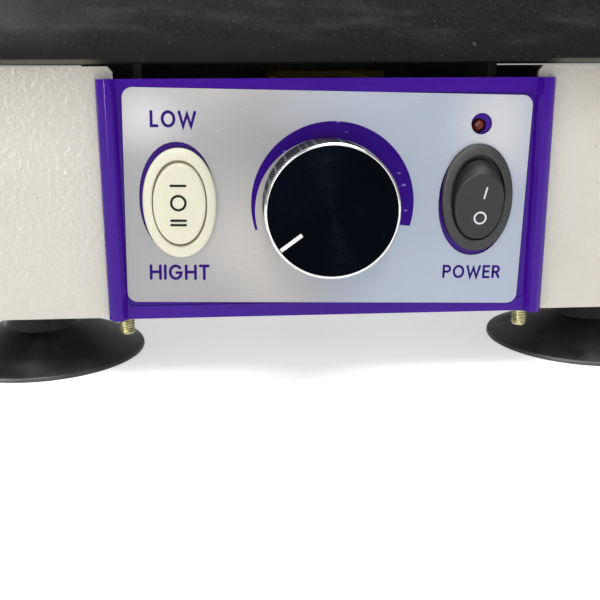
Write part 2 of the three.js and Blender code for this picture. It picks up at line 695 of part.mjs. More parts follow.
// The potentiometer's can with its threaded bush.
function potentiometer() {
  const canFront = panelBack + TOUCH_GAP;
  const bushFront = labelFace - BUSH_PROUD;
  const profile = [
    [SHAFT_RADIUS + TOUCH_GAP, bushFront],
    [BUSH_RADIUS, bushFront],
    [BUSH_RADIUS, canFront],
    [POT_RADIUS - 1, canFront],
    [POT_RADIUS, canFront + 1],
    [POT_RADIUS, canFront + POT_DEPTH],
    [0, canFront + POT_DEPTH],
    [0, canFront + SHAFT_ROOT],
    [SHAFT_RADIUS + TOUCH_GAP, canFront + SHAFT_ROOT],
    [SHAFT_RADIUS + TOUCH_GAP, bushFront],
  ];
  const can = turnedAlongY(profile, KNOB_X, knobZ, 20);
  const tags = [-1, 0, 1].map((index) =>
    block(
      KNOB_X + index * 5 - 1,
      KNOB_X + index * 5 + 1,
      canFront + 4,
      canFront + 4.8,
      knobZ - POT_RADIUS - 6,
      knobZ - POT_RADIUS + 2,
    ));
  return joined(can, ...tags);
}

// The shaft that the knob turns.
function potShaft() {
  const rear = panelBack + SHAFT_ROOT;
  return pinAlongY(KNOB_X, knobZ, SHAFT_RADIUS, knobFront + KNOB_CROWN, rear, 20);
}

// The hexagon nut and washer that clamp the bush to the panel.
function bushNut() {
  const nutBack = panelFace + RECESS_DEPTH - TOUCH_GAP;
  const hexagon = new THREE.Shape();
  for (let side = 0; side < 6; side += 1) {
    const angle = side * Math.PI / 3;
    const x = KNOB_X + NUT_RADIUS * Math.cos(angle);
    const z = knobZ + NUT_RADIUS * Math.sin(angle);
    if (side === 0) hexagon.moveTo(x, z);
    else hexagon.lineTo(x, z);
  }
  const nutFront = nutBack - WASHER_THICKNESS - NUT_HEIGHT;
  const washer = pinAlongY(KNOB_X, knobZ, WASHER_RADIUS, nutBack - WASHER_THICKNESS, nutBack, 24);
  const nut = frontal(hexagon, nutFront, nutBack - WASHER_THICKNESS / 2);
  const bore = pinAlongY(KNOB_X, knobZ, BUSH_RADIUS + TOUCH_GAP, nutFront - 1, nutBack + 1, 20);
  return cut(joined(washer, nut), bore);
}

// The spun aluminium knob: a polished edge, a flat face with a cut pointer line, and a hollow back.
function knob() {
  const radius = KNOB_DIAMETER / 2;
  const profile = [
    [SHAFT_RADIUS + TOUCH_GAP, knobBack - KNOB_HOLLOW],
    [KNOB_HOLLOW_RADIUS, knobBack - KNOB_HOLLOW],
    [KNOB_HOLLOW_RADIUS, knobBack],
    [radius - KNOB_EDGE, knobBack],
    [radius, knobBack - KNOB_EDGE],
    [radius, knobFront + KNOB_CHAMFER],
    [radius - KNOB_CHAMFER, knobFront],
    [radius - KNOB_CHAMFER - 2 * KNOB_FACE_DEPTH, knobFront],
    [radius - KNOB_CHAMFER - 3 * KNOB_FACE_DEPTH, knobFront + KNOB_FACE_DEPTH],
    [0, knobFront + KNOB_FACE_DEPTH],
    [0, knobFront + KNOB_CROWN - TOUCH_GAP],
    [SHAFT_RADIUS + TOUCH_GAP, knobFront + KNOB_CROWN - TOUCH_GAP],
    [SHAFT_RADIUS + TOUCH_GAP, knobBack - KNOB_HOLLOW],
  ];
  const pointer = block(
    POINTER_START * radius,
    radius - 2 * KNOB_CHAMFER,
    knobFront - 1,
    knobFront + POINTER_DEPTH,
    -POINTER_WIDTH / 2,
    POINTER_WIDTH / 2,
  );
  const grubY = (knobBack - KNOB_HOLLOW + knobFront + KNOB_CROWN) / 2;
  return cut(
    turnedAlongY(profile, 0, 0, 64),
    pointer.rotate([0, -KNOB_POINTER_DEG, 0]),
    pin(0, grubY, GRUB_RADIUS + TOUCH_GAP, 0, radius + 1, 12),
  ).translate([KNOB_X, 0, knobZ]);
}

// The grub screw that holds the knob on its shaft.
function grubScrew() {
  const y = (knobBack - KNOB_HOLLOW + knobFront + KNOB_CROWN) / 2;
  return pin(KNOB_X, y, GRUB_RADIUS, knobZ + SHAFT_RADIUS + TOUCH_GAP, knobZ + KNOB_DIAMETER / 2 - 2, 12);
}

// The power lamp behind its hole.
function lamp() {
  const domeCentre = panelFace + 0.9;
  const profile = [[0, domeCentre - LAMP_RADIUS + 0.4]];
  const domeSteps = 5;
  for (let step = 1; step <= domeSteps; step += 1) {
    const angle = step / domeSteps * Math.PI / 2;
    profile.push([LAMP_RADIUS * Math.sin(angle), domeCentre + 0.4 - LAMP_RADIUS * Math.cos(angle)]);
  }
  const flange = panelBack + TOUCH_GAP;
  profile.push([LAMP_RADIUS, flange], [2.8, flange], [2.8, flange + 1.4], [0, flange + 1.4]);
  const body = turnedAlongY(profile, LAMP_X, lampZ, 18);
  const legs = [-1, 1].map((side) =>
    pinAlongY(LAMP_X + side * 1.27, lampZ, 0.35, flange + 1, flange + 9, 8));
  return joined(body, ...legs);
}

// ---------- electromagnet and shaking table ----------

const coreHalf = CORE_LEG + CORE_WINDOW + CORE_LEG;
const MAGNET_BOLT_RADIUS = 2.5;
const MAGNET_BOLT_DROP = 2;
const MAGNET_BOLT_HEAD = 4.4;
const MAGNET_BOLT_HEAD_HEIGHT = 4;
const SADDLE_SHEET = 2.5;
const SADDLE_SIDE = 16;
const MAGNET_FOOT = 9;
const magnetBoltPlaces = [
  ['left', MAGNET_X - coreHalf - MAGNET_FOOT, 0],
  ['right', MAGNET_X + coreHalf + MAGNET_FOOT, 0],
];
const coreTop = plateBottom - TOUCH_GAP - ARMATURE_THICKNESS - AIR_GAP;
const coreBottom = coreTop - CORE_HEIGHT;

// The laminated core, an E lying on its back with its legs up.
function magnetCore() {
  const left = MAGNET_X - coreHalf;
  const right = MAGNET_X + coreHalf;
  const yokeTop = coreBottom + CORE_YOKE;
  const outline = polygon([
    [left, coreBottom],
    [right, coreBottom],
    [right, coreTop],
    [right - CORE_LEG, coreTop],
    [right - CORE_LEG, yokeTop],
    [MAGNET_X + CORE_LEG, yokeTop],
    [MAGNET_X + CORE_LEG, coreTop],
    [MAGNET_X - CORE_LEG, coreTop],
    [MAGNET_X - CORE_LEG, yokeTop],
    [left + CORE_LEG, yokeTop],
    [left + CORE_LEG, coreTop],
    [left, coreTop],
  ]);
  return frontal(outline, -CORE_STACK / 2, CORE_STACK / 2);
}

// The taped winding round the middle leg.
function magnetCoil() {
  const side = CORE_WINDOW - 2 * TOUCH_GAP;
  const inner = roundedRectangle(2 * (CORE_LEG + TOUCH_GAP), CORE_STACK + 2 * TOUCH_GAP, 0.6, MAGNET_X, 0);
  const outer = roundedRectangle(2 * (CORE_LEG + side + TOUCH_GAP), CORE_STACK + 2 * side, 5, MAGNET_X, 0);
  const low = coreBottom + CORE_YOKE + TOUCH_GAP;
  const high = coreTop - 0.3;
  return cut(upright(outer, low, high), upright(inner, low - 1, high + 1, 2));
}

// The bent steel saddle that holds the core down.
function magnetSaddle() {
  const inside = coreHalf + TOUCH_GAP;
  const outside = inside + SADDLE_SHEET;
  const foot = coreHalf + 2 * MAGNET_FOOT;
  const step = coreBottom - TOUCH_GAP;
  const outline = polygon([
    [MAGNET_X - foot, standing],
    [MAGNET_X + foot, standing],
    [MAGNET_X + foot, standing + SADDLE_SHEET],
    [MAGNET_X + outside, standing + SADDLE_SHEET],
    [MAGNET_X + outside, step + SADDLE_SIDE],
    [MAGNET_X + inside, step + SADDLE_SIDE],
    [MAGNET_X + inside, step],
    [MAGNET_X - inside, step],
    [MAGNET_X - inside, step + SADDLE_SIDE],
    [MAGNET_X - outside, step + SADDLE_SIDE],
    [MAGNET_X - outside, standing + SADDLE_SHEET],
    [MAGNET_X - foot, standing + SADDLE_SHEET],
  ]);
  const holes = magnetBoltPlaces.map(([, x, y]) =>
    pin(x, y, MAGNET_BOLT_RADIUS + TOUCH_GAP, standing - 1, standing + 2 * SADDLE_SHEET));
  return cut(frontal(outline, -CORE_STACK / 2 + 4, CORE_STACK / 2 - 4), ...holes);
}

function magnetBolt() {
  const seat = standing + SADDLE_SHEET + TOUCH_GAP;
  const low = bodyBottom - MAGNET_BOLT_DROP;
  return turned([
    [0, low],
    [MAGNET_BOLT_RADIUS, low],
    [MAGNET_BOLT_RADIUS, seat],
    [MAGNET_BOLT_HEAD, seat],
    [MAGNET_BOLT_HEAD, seat + 0.85 * MAGNET_BOLT_HEAD_HEIGHT],
    [0.85 * MAGNET_BOLT_HEAD, seat + MAGNET_BOLT_HEAD_HEIGHT],
    [0, seat + MAGNET_BOLT_HEAD_HEIGHT],
  ], 16);
}

// The keeper under the table that the magnet pulls.
function armature() {
  const top = plateBottom - TOUCH_GAP;
  const left = MAGNET_X - coreHalf;
  return block(left, left + 2 * coreHalf, -CORE_STACK / 2, CORE_STACK / 2, top - ARMATURE_THICKNESS, top);
}

// A hanger below the table: a tall web with a flange at each end.
// The upper flange is spot-welded to the table plate and the lower one rests on the buffers.
function hanger(side) {
  const top = plateBottom - TOUCH_GAP;
  const seat = standing + BUFFER_HEIGHT + TOUCH_GAP;
  const web = side * HANGER_X;
  const webIn = web - side * HANGER_SHEET;
  const tableFlange = web - side * HANGER_FLANGE;
  const seatFlange = web + side * (2 * BUFFER_RADIUS + HANGER_SHEET);
  const outline = polygon([
    [web, seat + HANGER_SHEET],
    [web, top],
    [tableFlange, top],
    [tableFlange, top - HANGER_SHEET],
    [webIn, top - HANGER_SHEET],
    [webIn, seat],
    [seatFlange, seat],
    [seatFlange, seat + HANGER_SHEET],
  ]);
  return frontal(outline, -HANGER_LENGTH / 2, HANGER_LENGTH / 2);
}

// An angle bar welded under the plate's rear edge, which keeps it from bending.
function tableStiffener() {
  const top = plateBottom - TOUCH_GAP;
  const rear = BODY_DEPTH / 2 - PLATE_INSET - STIFFENER_INSET;
  const outline = polygon([
    [rear, top],
    [rear, top - STIFFENER_DROP],
    [rear - HANGER_SHEET, top - STIFFENER_DROP],
    [rear - HANGER_SHEET, top - HANGER_SHEET],
    [rear - HANGER_FLANGE, top - HANGER_SHEET],
    [rear - HANGER_FLANGE, top],
  ]);
  return sideways(outline, -STIFFENER_LENGTH / 2, STIFFENER_LENGTH / 2);
}

// The steel plate inside the rubber.
function tablePlate() {
  const width = BODY_WIDTH - 2 * PLATE_INSET;
  const depth = BODY_DEPTH - 2 * PLATE_INSET;
  return upright(roundedRectangle(width, depth, PLATE_CORNER), plateBottom, plateTop, 2);
}

// The black rubber slab, moulded over the plate, with a low rim round its top.
function rubberSlab() {
  const width = BODY_WIDTH + 2 * SLAB_OVERHANG;
  const depth = BODY_DEPTH + 2 * SLAB_OVERHANG;
  const inset = roundedRectangle(width - 2 * SLAB_BEVEL, depth - 2 * SLAB_BEVEL, SLAB_CORNER - SLAB_BEVEL);
  const geometry = new THREE.ExtrudeGeometry(inset, {
    depth: SLAB_HEIGHT - 2 * SLAB_BEVEL,
    bevelThickness: SLAB_BEVEL,
    bevelSize: SLAB_BEVEL,
    bevelSegments: 2,
    curveSegments: 5,
  });
  const body = solid(geometry.translate(0, 0, slabBottom + SLAB_BEVEL));
  const pocket = roundedRectangle(
    BODY_WIDTH - 2 * PLATE_INSET + 2 * TOUCH_GAP,
    BODY_DEPTH - 2 * PLATE_INSET + 2 * TOUCH_GAP,
    PLATE_CORNER + TOUCH_GAP,
  );
  const tray = roundedRectangle(width - 2 * RIM_WIDTH, depth - 2 * RIM_WIDTH, SLAB_CORNER - RIM_WIDTH / 2);
  return cut(
    body,
    upright(pocket, slabBottom - 1, slabBottom + SLAB_POCKET_DEPTH, 2),
    upright(tray, slabTop - RIM_HEIGHT, slabTop + 1, 4),
  );
}

// A rubber buffer with a waist, which carries the table and lets it shake.
function buffer() {
  const top = standing + BUFFER_HEIGHT;
  const waist = BUFFER_RADIUS - 2.2;
  const middle = standing + BUFFER_HEIGHT / 2;
  return turned([
    [0, standing],
    [BUFFER_RADIUS, standing],
    [BUFFER_RADIUS, standing + 3],
    [waist, middle - 3],
    [waist, middle + 3],
    [BUFFER_RADIUS, top - 3],
    [BUFFER_RADIUS, top],
    [0, top],
  ], 14);
}

// ---------- drive electronics ----------

const boardBottom = standing + BOARD_RISE;
const boardTop = boardBottom + BOARD_SHEET;
const boardCorners = [-1, 1].flatMap((u) => [-1, 1].map((v) =>
  [BOARD_X + u * (BOARD_WIDTH / 2 - BOARD_HOLE_INSET), BOARD_Y + v * (BOARD_LENGTH / 2 - BOARD_HOLE_INSET)]));

function circuitBoard() {
  const outline = roundedRectangle(BOARD_WIDTH, BOARD_LENGTH, BOARD_CORNER, BOARD_X, BOARD_Y);
  const board = upright(outline, boardBottom, boardTop, 3);
  return cut(board, ...boardCorners.map(([x, y]) =>
    pin(x, y, BOARD_HOLE_RADIUS, boardBottom - 1, boardTop + 1, 12)));
}

function standoff() {
  const low = standing;
  const high = boardBottom - TOUCH_GAP;
  const tip = boardTop + BOARD_SHEET;
  return turned([
    [0, low],
    [STANDOFF_RADIUS, low],
    [STANDOFF_RADIUS, high],
    [STANDOFF_PIN, high],
    [STANDOFF_PIN, tip],
    [0, tip],
  ], 10);
}

// The finned cooler with the flat power switch bolted to it.
function heatSink() {
  const low = boardTop + TOUCH_GAP;
  const high = low + SINK_HEIGHT;
  const x = BOARD_X - BOARD_WIDTH / 2 + BOARD_HOLE_INSET + SINK_WALL;
  const y = BOARD_Y - SINK_LENGTH / 2 + 1;
  const wall = block(x, x + SINK_WALL, y, y + SINK_LENGTH, low, high);
  const fins = [0, 1, 2, 3].map((fin) =>
    block(x + 1, x + SINK_DEPTH, y + fin * SINK_FIN_PITCH, y + fin * SINK_FIN_PITCH + SINK_WALL, low, high));
  return joined(wall, ...fins);
}

function capacitor() {
  const low = boardTop + TOUCH_GAP;
  const y = BOARD_Y + BOARD_LENGTH / 2 - CAPACITOR_LENGTH;
  const left = BOARD_X - CAPACITOR_LENGTH / 2;
  return block(left, left + CAPACITOR_LENGTH, y, y + CAPACITOR_WIDTH, low, low + CAPACITOR_HEIGHT);
}

function terminalBlock() {
  const low = boardTop + TOUCH_GAP;
  const y = BOARD_Y - BOARD_LENGTH / 2 + 13;
  const halfLength = 2 * TERMINAL_PITCH + TOUCH_GAP;
  const halfWidth = TERMINAL_WIDTH / 2;
  const strip = block(
    BOARD_X - halfLength,
    BOARD_X + halfLength,
    y - halfWidth,
    y + halfWidth,
    low,
    low + TERMINAL_HEIGHT,
  );
  const wellFloor = low + TERMINAL_WELL_FLOOR;
  const wells = [-1.5, -0.5, 0.5, 1.5].map((slot) =>
    pin(BOARD_X + slot * TERMINAL_PITCH, y, TERMINAL_WELL, wellFloor, wellFloor + TERMINAL_HEIGHT, 12));
  return cut(strip, ...wells);
}

// ---------- mains inlet ----------

const inletZ = bodyBottom + INLET_RISE;
const socketZ = inletZ + 8;
const drawerZ = inletZ - 11.5;
const inletFace = back + TOUCH_GAP + INLET_FLANGE;
const fuseY = inletFace - DRAWER_DEPTH / 2;

// The outline of the appliance socket: a rectangle with its two lower corners cut off.
function socketOutline(x, z) {
  const w = SOCKET_WIDTH / 2;
  const h = SOCKET_HEIGHT / 2;
  const snip = 4.5;
  return polygon([
    [x - w + snip, z + h],
    [x - w, z + h - snip],
    [x - w, z - h],
    [x + w, z - h],
    [x + w, z + h - snip],
    [x + w - snip, z + h],
  ]);
}

// The inlet: a snap-in body with the appliance socket above and the slot for the fuse drawer below.
function mainsInlet() {
  const flange = roundedRectangle(INLET_WIDTH + 5, INLET_HEIGHT + 5, 2.5, INLET_X, inletZ);
  const can = roundedRectangle(INLET_WIDTH, INLET_HEIGHT, 1.5, INLET_X, inletZ);
  const body = joined(
    frontal(flange, back + TOUCH_GAP, inletFace),
    frontal(can, inletFace - INLET_DEPTH, inletFace - 0.5),
  );
  const socket = frontal(socketOutline(INLET_X, socketZ), inletFace - SOCKET_DEPTH, inletFace + 1);
  const slot = block(
    INLET_X - DRAWER_WIDTH / 2 - TOUCH_GAP,
    INLET_X + DRAWER_WIDTH / 2 + TOUCH_GAP,
    inletFace - DRAWER_DEPTH - TOUCH_GAP,
    inletFace + 1,
    drawerZ - DRAWER_HEIGHT / 2 - TOUCH_GAP,
    drawerZ + DRAWER_HEIGHT / 2 + TOUCH_GAP,
  );
  const pinPlaces = [[-7, -1.5], [0, 2.5], [7, -1.5]];
  const pins = pinPlaces.map(([dx, dz]) =>
    block(
      INLET_X + dx - 1,
      INLET_X + dx + 1,
      inletFace - SOCKET_DEPTH - 1,
      inletFace - 5,
      socketZ + dz - 2,
      socketZ + dz + 2,
    ));
  const tags = pinPlaces.map(([dx, dz]) =>
    block(
      INLET_X + dx - 0.4,
      INLET_X + dx + 0.4,
      inletFace - INLET_DEPTH - 8,
      inletFace - INLET_DEPTH + 1,
      socketZ + dz - 2.4,
      socketZ + dz + 2.4,
    ));
  return joined(cut(body, socket, slot), ...pins, ...tags);
}

// The drawer that carries the fuse: it pulls out to the back by its lip.
function fuseDrawer() {
  const w = DRAWER_WIDTH / 2;
  const h = DRAWER_HEIGHT / 2;
  const tray = block(INLET_X - w, INLET_X + w, inletFace - DRAWER_DEPTH, inletFace, drawerZ - h, drawerZ + h);
  const lipFront = inletFace + TOUCH_GAP;
  const lip = block(INLET_X - w, INLET_X + w, lipFront, inletFace + DRAWER_LIP, drawerZ - h - 1, drawerZ + h);
  const neck = block(INLET_X - w, INLET_X + w, inletFace - 1, inletFace + 1, drawerZ - h, drawerZ + h);
  const pocket = block(
    INLET_X - FUSE_LENGTH / 2 - TOUCH_GAP,
    INLET_X + FUSE_LENGTH / 2 + TOUCH_GAP,
    fuseY - FUSE_RADIUS - TOUCH_GAP,
    fuseY + FUSE_RADIUS + TOUCH_GAP,
    drawerZ - h + 1.2,
    drawerZ + h + 1,
  );
  return cut(joined(tray, lip, neck), pocket);
}

const FUSE_LENGTH = 20;
const FUSE_RADIUS = 2.5;

function fuse() {
  const z = drawerZ - DRAWER_HEIGHT / 2 + 1.2 + TOUCH_GAP + FUSE_RADIUS;
  return pinAlongX(fuseY, z, FUSE_RADIUS, INLET_X - FUSE_LENGTH / 2, INLET_X + FUSE_LENGTH / 2);
}

// ---------- assembly ----------

add('housing', housing(), WHITE_PAINT);
add('base_plate', basePlate(), GREY_STEEL);
corners(footX, footY).forEach(([place, x, y]) => {
  add(`suction_foot_${place}`, suctionFoot().translate([x, y, 0]), BLACK_RUBBER);
  add(`foot_stud_${place}`, footStud().translate([x, y, 0]), BRIGHT_STEEL);
  add(`foot_nut_${place}`, footNut().translate([x, y, 0]), BRIGHT_STEEL);
});
corners(BODY_WIDTH / 2, sideScrewY).forEach(([place, x, y]) => {
  add(`side_screw_${place}`, sideScrew(x, y), BRIGHT_STEEL);
});

add('control_panel', controlPanel(), PURPLE_PLASTIC);
add('panel_label', panelLabel(), SILVER_FILM);
panelScrewPlaces.forEach(([place, x, y]) => {
  add(`panel_screw_${place}`, panelScrew().translate([x, y, 0]), YELLOW_ZINC);
});
add('speed_switch_body', switchBody(SPEED_ROCKER, 3), IVORY_PLASTIC);
add('speed_switch_rocker', rocker(SPEED_ROCKER), IVORY_PLASTIC);
add('power_switch_body', switchBody(POWER_ROCKER, 2), BLACK_PLASTIC);
add('power_switch_rocker', rocker(POWER_ROCKER), BLACK_PLASTIC);
add('potentiometer', potentiometer(), GREY_STEEL);
add('potentiometer_shaft', potShaft(), BRIGHT_STEEL);
add('potentiometer_nut', bushNut(), BRIGHT_STEEL);
add('intensity_knob', knob(), BLACK_ANODISED);
add('knob_grub_screw', grubScrew(), BRIGHT_STEEL);
add('power_lamp', lamp(), RED_LENS);

add('magnet_core', magnetCore(), CORE_STEEL);
add('magnet_coil', magnetCoil(), YELLOW_TAPE);
add('magnet_saddle', magnetSaddle(), GREY_STEEL);
magnetBoltPlaces.forEach(([place, x, y]) => {
  add(`magnet_bolt_${place}`, magnetBolt().translate([x, y, 0]), BRIGHT_STEEL);
});
add('armature', armature(), CORE_STEEL);
add('hanger_left', hanger(-1), GREY_STEEL);
add('hanger_right', hanger(1), GREY_STEEL);
corners(HANGER_X + BUFFER_RADIUS + 2, BUFFER_Y).forEach(([place, x, y]) => {
  add(`buffer_${place}`, buffer().translate([x, y, 0]), BLACK_RUBBER);
});
add('table_stiffener', tableStiffener(), GREY_STEEL);
add('table_plate', tablePlate(), GREY_STEEL);
add('rubber_slab', rubberSlab(), BLACK_RUBBER);

add('circuit_board', circuitBoard(), GREEN_BOARD);
boardCorners.forEach(([x, y], index) => {
  add(`board_standoff_${index + 1}`, standoff().translate([x, y, 0]), BRIGHT_STEEL);
});
add('heat_sink', heatSink(), GREY_STEEL);
add('capacitor', capacitor(), BLUE_FILM);
add('terminal_block', terminalBlock(), GREEN_BOARD);
add('mains_inlet', mainsInlet(), BLACK_PLASTIC);
add('fuse_drawer', fuseDrawer(), BLACK_PLASTIC);
add('fuse', fuse(), GLASS);

const frontmost = knobFront;
const rearmost = inletFace + DRAWER_LIP;
group.position.y = -(frontmost + rearmost) / 2;

export default group;
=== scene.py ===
import math

import bmesh
import bpy
from mathutils import Matrix, Vector


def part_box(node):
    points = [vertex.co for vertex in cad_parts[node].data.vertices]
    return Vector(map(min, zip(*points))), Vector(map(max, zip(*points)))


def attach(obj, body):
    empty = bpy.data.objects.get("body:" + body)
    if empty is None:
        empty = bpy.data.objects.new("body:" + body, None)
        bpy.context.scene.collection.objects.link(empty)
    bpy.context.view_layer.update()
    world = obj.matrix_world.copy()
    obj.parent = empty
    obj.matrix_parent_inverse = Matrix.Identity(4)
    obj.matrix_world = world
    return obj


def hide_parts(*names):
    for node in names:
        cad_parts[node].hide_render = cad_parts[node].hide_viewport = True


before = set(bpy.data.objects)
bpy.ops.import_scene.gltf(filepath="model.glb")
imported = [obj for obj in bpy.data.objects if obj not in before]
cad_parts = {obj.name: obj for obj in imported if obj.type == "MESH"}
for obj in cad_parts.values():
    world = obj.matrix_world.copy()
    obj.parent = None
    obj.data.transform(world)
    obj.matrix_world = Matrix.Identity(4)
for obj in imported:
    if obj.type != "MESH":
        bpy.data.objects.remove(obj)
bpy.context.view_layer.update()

# ---- The bench and the room ----
# The machine stands on a pale bench in a bright, even room with a window to its left.
# It is looked at from close by, a little above the front panel and to its left.


def rgb(red, green, blue):
    """A colour given by its 0 to 255 values, as light amounts."""
    amounts = []
    for value in (red, green, blue):
        share = value / 255
        amounts.append(share / 12.92 if share <= 0.04045 else ((share + 0.055) / 1.055) ** 2.4)
    return (*amounts, 1.0)


class Wire:
    """A value, colour or vector in a finish, so that marks and wear can be written as sums."""

    def __init__(self, material, socket=None):
        self.material = material
        self.socket = socket

    def node(self, kind, settings, sockets, out=0):
        tree = self.material.node_tree
        made = tree.nodes.new("ShaderNode" + kind)
        for name, value in settings.items():
            setattr(made, name, value)
        for name, value in sockets.items():
            if isinstance(value, Wire):
                tree.links.new(value.socket, made.inputs[name])
            else:
                made.inputs[name].default_value = value
        return Wire(self.material, made.outputs[out] if len(made.outputs) else None)

    def maths(self, operation, first, second=0.0):
        return self.node("Math", {"operation": operation}, {0: first, 1: second})

    def __add__(self, other):
        return self.maths("ADD", self, other)

    def __radd__(self, other):
        return self.maths("ADD", other, self)

    def __sub__(self, other):
        return self.maths("SUBTRACT", self, other)

    def __rsub__(self, other):
        return self.maths("SUBTRACT", other, self)

    def __mul__(self, other):
        return self.maths("MULTIPLY", self, other)

    def __rmul__(self, other):
        return self.maths("MULTIPLY", other, self)

    def __truediv__(self, other):
        return self.maths("DIVIDE", self, other)

    def wave(self):
        """Swings between 0 and 1, once for each whole number that this value passes."""
        return self.maths("SINE", self * math.tau) * 0.5 + 0.5

    def axis(self, letter):
        return self.node("SeparateXYZ", {}, {0: self}, letter)

    def rises(self, low, high):
        """Goes smoothly from 0 at low to 1 at high, and stays there."""
        limits = {"Value": self, "From Min": low, "From Max": high}
        return self.node("MapRange", {"interpolation_type": "SMOOTHSTEP"}, limits)

    def tint(self, plain, marked):
        """The colour plain where this mask is 0, going to marked where it is 1."""
        return self.node("Mix", {"data_type": "RGBA"}, {0: self, 6: plain, 7: marked}, 2)

    def stretched(self, x, y, z):
        return self.node("VectorMath", {"operation": "MULTIPLY"}, {0: self, 1: (x, y, z)})

    def moved(self, x, y, z):
        return self.node("VectorMath", {"operation": "SUBTRACT"}, {0: self, 1: (x, y, z)})

    def cloud(self, size, detail=2.0):
        """Soft uneven patches about as big as size, in metres."""
        return self.node("TexNoise", {}, {"Vector": self, "Scale": 1 / size, "Detail": detail})

    def specks(self, size, density):
        """A mask of small separate grains, about size across and more of them as density goes to 1."""
        near = self.node("TexVoronoi", {}, {"Vector": self, "Scale": 1 / size}, "Distance")
        patch = self.cloud(size * 1.7, 1.0)
        return (1 - near.rises(0.06, 0.22)) * patch.rises(0.75 - 0.3 * density, 0.8 - 0.3 * density)

    def scratches(self, length, width):
        """A mask of fine straight marks along X."""
        lines = self.stretched(1 / length, 1 / width, 1 / width).cloud(1.0, 3.0)
        return lines.rises(0.66, 0.72)


def start_finish(name):
    """A new finish, as the place on the piece that its marks are worked out from, in metres."""
    made = bpy.data.materials.new(name)
    made.use_nodes = True
    made.node_tree.nodes.clear()
    return Wire(made).node("TexCoord", {}, {}, "Object")


def coat(place, sockets, relief=None, depth=0.0001):
    """Ends a finish: its shader, with a relief of the given depth in metres pressed into it."""
    if relief is not None:
        dents = {"Height": relief, "Distance": depth, "Strength": 1.0}
        sockets = {**sockets, "Normal": place.node("Bump", {}, dents, "Normal")}
    shader = place.node("BsdfPrincipled", {}, sockets, "BSDF")
    place.node("OutputMaterial", {}, {"Surface": shader})
    return place.material


def build(name, shape, finish, crease=35):
    """Turns the drawn shape into an object with its finish, smooth but for edges sharper than crease."""
    bmesh.ops.recalc_face_normals(shape, faces=shape.faces)
    mesh = bpy.data.meshes.new(name)
    shape.to_mesh(mesh)
    shape.free()
    mesh.shade_smooth()
    mesh.set_sharp_from_angle(angle=math.radians(crease))
    mesh.materials.append(finish)
    piece = bpy.data.objects.new(name, mesh)
    bpy.context.scene.collection.objects.link(piece)
    return piece


bench_place = start_finish("pale_bench")
bench_stain = bench_place.cloud(0.11, 4.0)
bench_top = coat(
    bench_place,
    {
        "Base Color": bench_stain.tint(rgb(238, 238, 237), rgb(247, 247, 246)),
        "Roughness": 0.7,
        "Emission Color": bench_stain.tint(rgb(250, 250, 250), rgb(255, 255, 255)),
        "Emission Strength": 0.5,
    },
    bench_place.cloud(0.0012),
    depth=0.00002,
)
bench_shape = bmesh.new()
bmesh.ops.create_grid(bench_shape, x_segments=24, y_segments=24, size=3.0)
bench = build("bench", bench_shape, bench_top)

EYE_PLACE = (-0.02627, -0.34862, 0.09186)
EYE_YAW, EYE_PITCH, EYE_ROLL = 3.951, 15.071, 0.211
yaw, pitch, roll = (math.radians(degrees) for degrees in (EYE_YAW, EYE_PITCH, EYE_ROLL))
level = Vector((math.sin(yaw), math.cos(yaw), 0))
forward = math.cos(pitch) * level - Vector((0, 0, math.sin(pitch)))
level_right = Vector((math.cos(yaw), -math.sin(yaw), 0))
level_up = level_right.cross(forward)
right = math.cos(roll) * level_right - math.sin(roll) * level_up
up = math.sin(roll) * level_right + math.cos(roll) * level_up
eye = bpy.data.objects.new("eye", bpy.data.cameras.new("eye"))
bpy.context.scene.collection.objects.link(eye)
eye_turn = Matrix((right, up, -forward)).transposed().to_4x4()
eye.matrix_world = Matrix.Translation(EYE_PLACE) @ eye_turn
eye.data.sensor_width = 36
eye.data.lens = 52.257
eye.data.clip_start = 0.01
bpy.context.scene.camera = eye

room = bpy.data.worlds.new("room")
room.use_nodes = True
room.node_tree.nodes["Background"].inputs["Color"].default_value = (0.98, 0.99, 1.0, 1.0)
room.node_tree.nodes["Background"].inputs["Strength"].default_value = 0.36
bpy.context.scene.world = room
bpy.context.scene.view_settings.view_transform = "Standard"


def lamp(name, at, towards, width, height, power, colour):
    """A soft window of light."""
    light = bpy.data.lights.new(name, "AREA")
    light.shape = "RECTANGLE"
    light.size, light.size_y = width, height
    light.energy = power
    light.color = colour
    holder = bpy.data.objects.new(name, light)
    bpy.context.scene.collection.objects.link(holder)
    holder.location = at
    holder.rotation_mode = "QUATERNION"
    holder.rotation_quaternion = (Vector(towards) - Vector(at)).to_track_quat("-Z", "Y")
    return holder


lamp(
    "window",
    at=(-0.9, -0.75, 0.75),
    towards=(0, 0, 0.05),
    width=0.4,
    height=0.9,
    power=2.2,
    colour=(1.0, 0.99, 0.96),
)
lamp(
    "ceiling",
    at=(0.22, -0.35, 1.5),
    towards=(0, -0.1, 0),
    width=1.3,
    height=1.0,
    power=20.0,
    colour=(1.0, 1.0, 1.0),
)
window_glint = lamp(
    "window_glint",
    at=(-0.75, -0.95, 0.25),
    towards=(0, -0.1, 0.05),
    width=0.06,
    height=0.9,
    power=15.0,
    colour=(1.0, 0.99, 0.97),
)
front_glint = lamp(
    "front_glint",
    at=(-0.02, -0.95, 0.62),
    towards=(0, -0.1, 0.05),
    width=0.16,
    height=0.3,
    power=9.0,
    colour=(1.0, 0.99, 0.95),
)
window_glint.visible_diffuse = False
front_glint.visible_diffuse = False

# ---- The steel floor ----
# A pressed sheet of zinc-plated steel with turned-up sides, vent slots and holes for what is bolted to it.
# Its plating shows faint crystals and the marks of handling.


SAME_SPOT = 0.000002


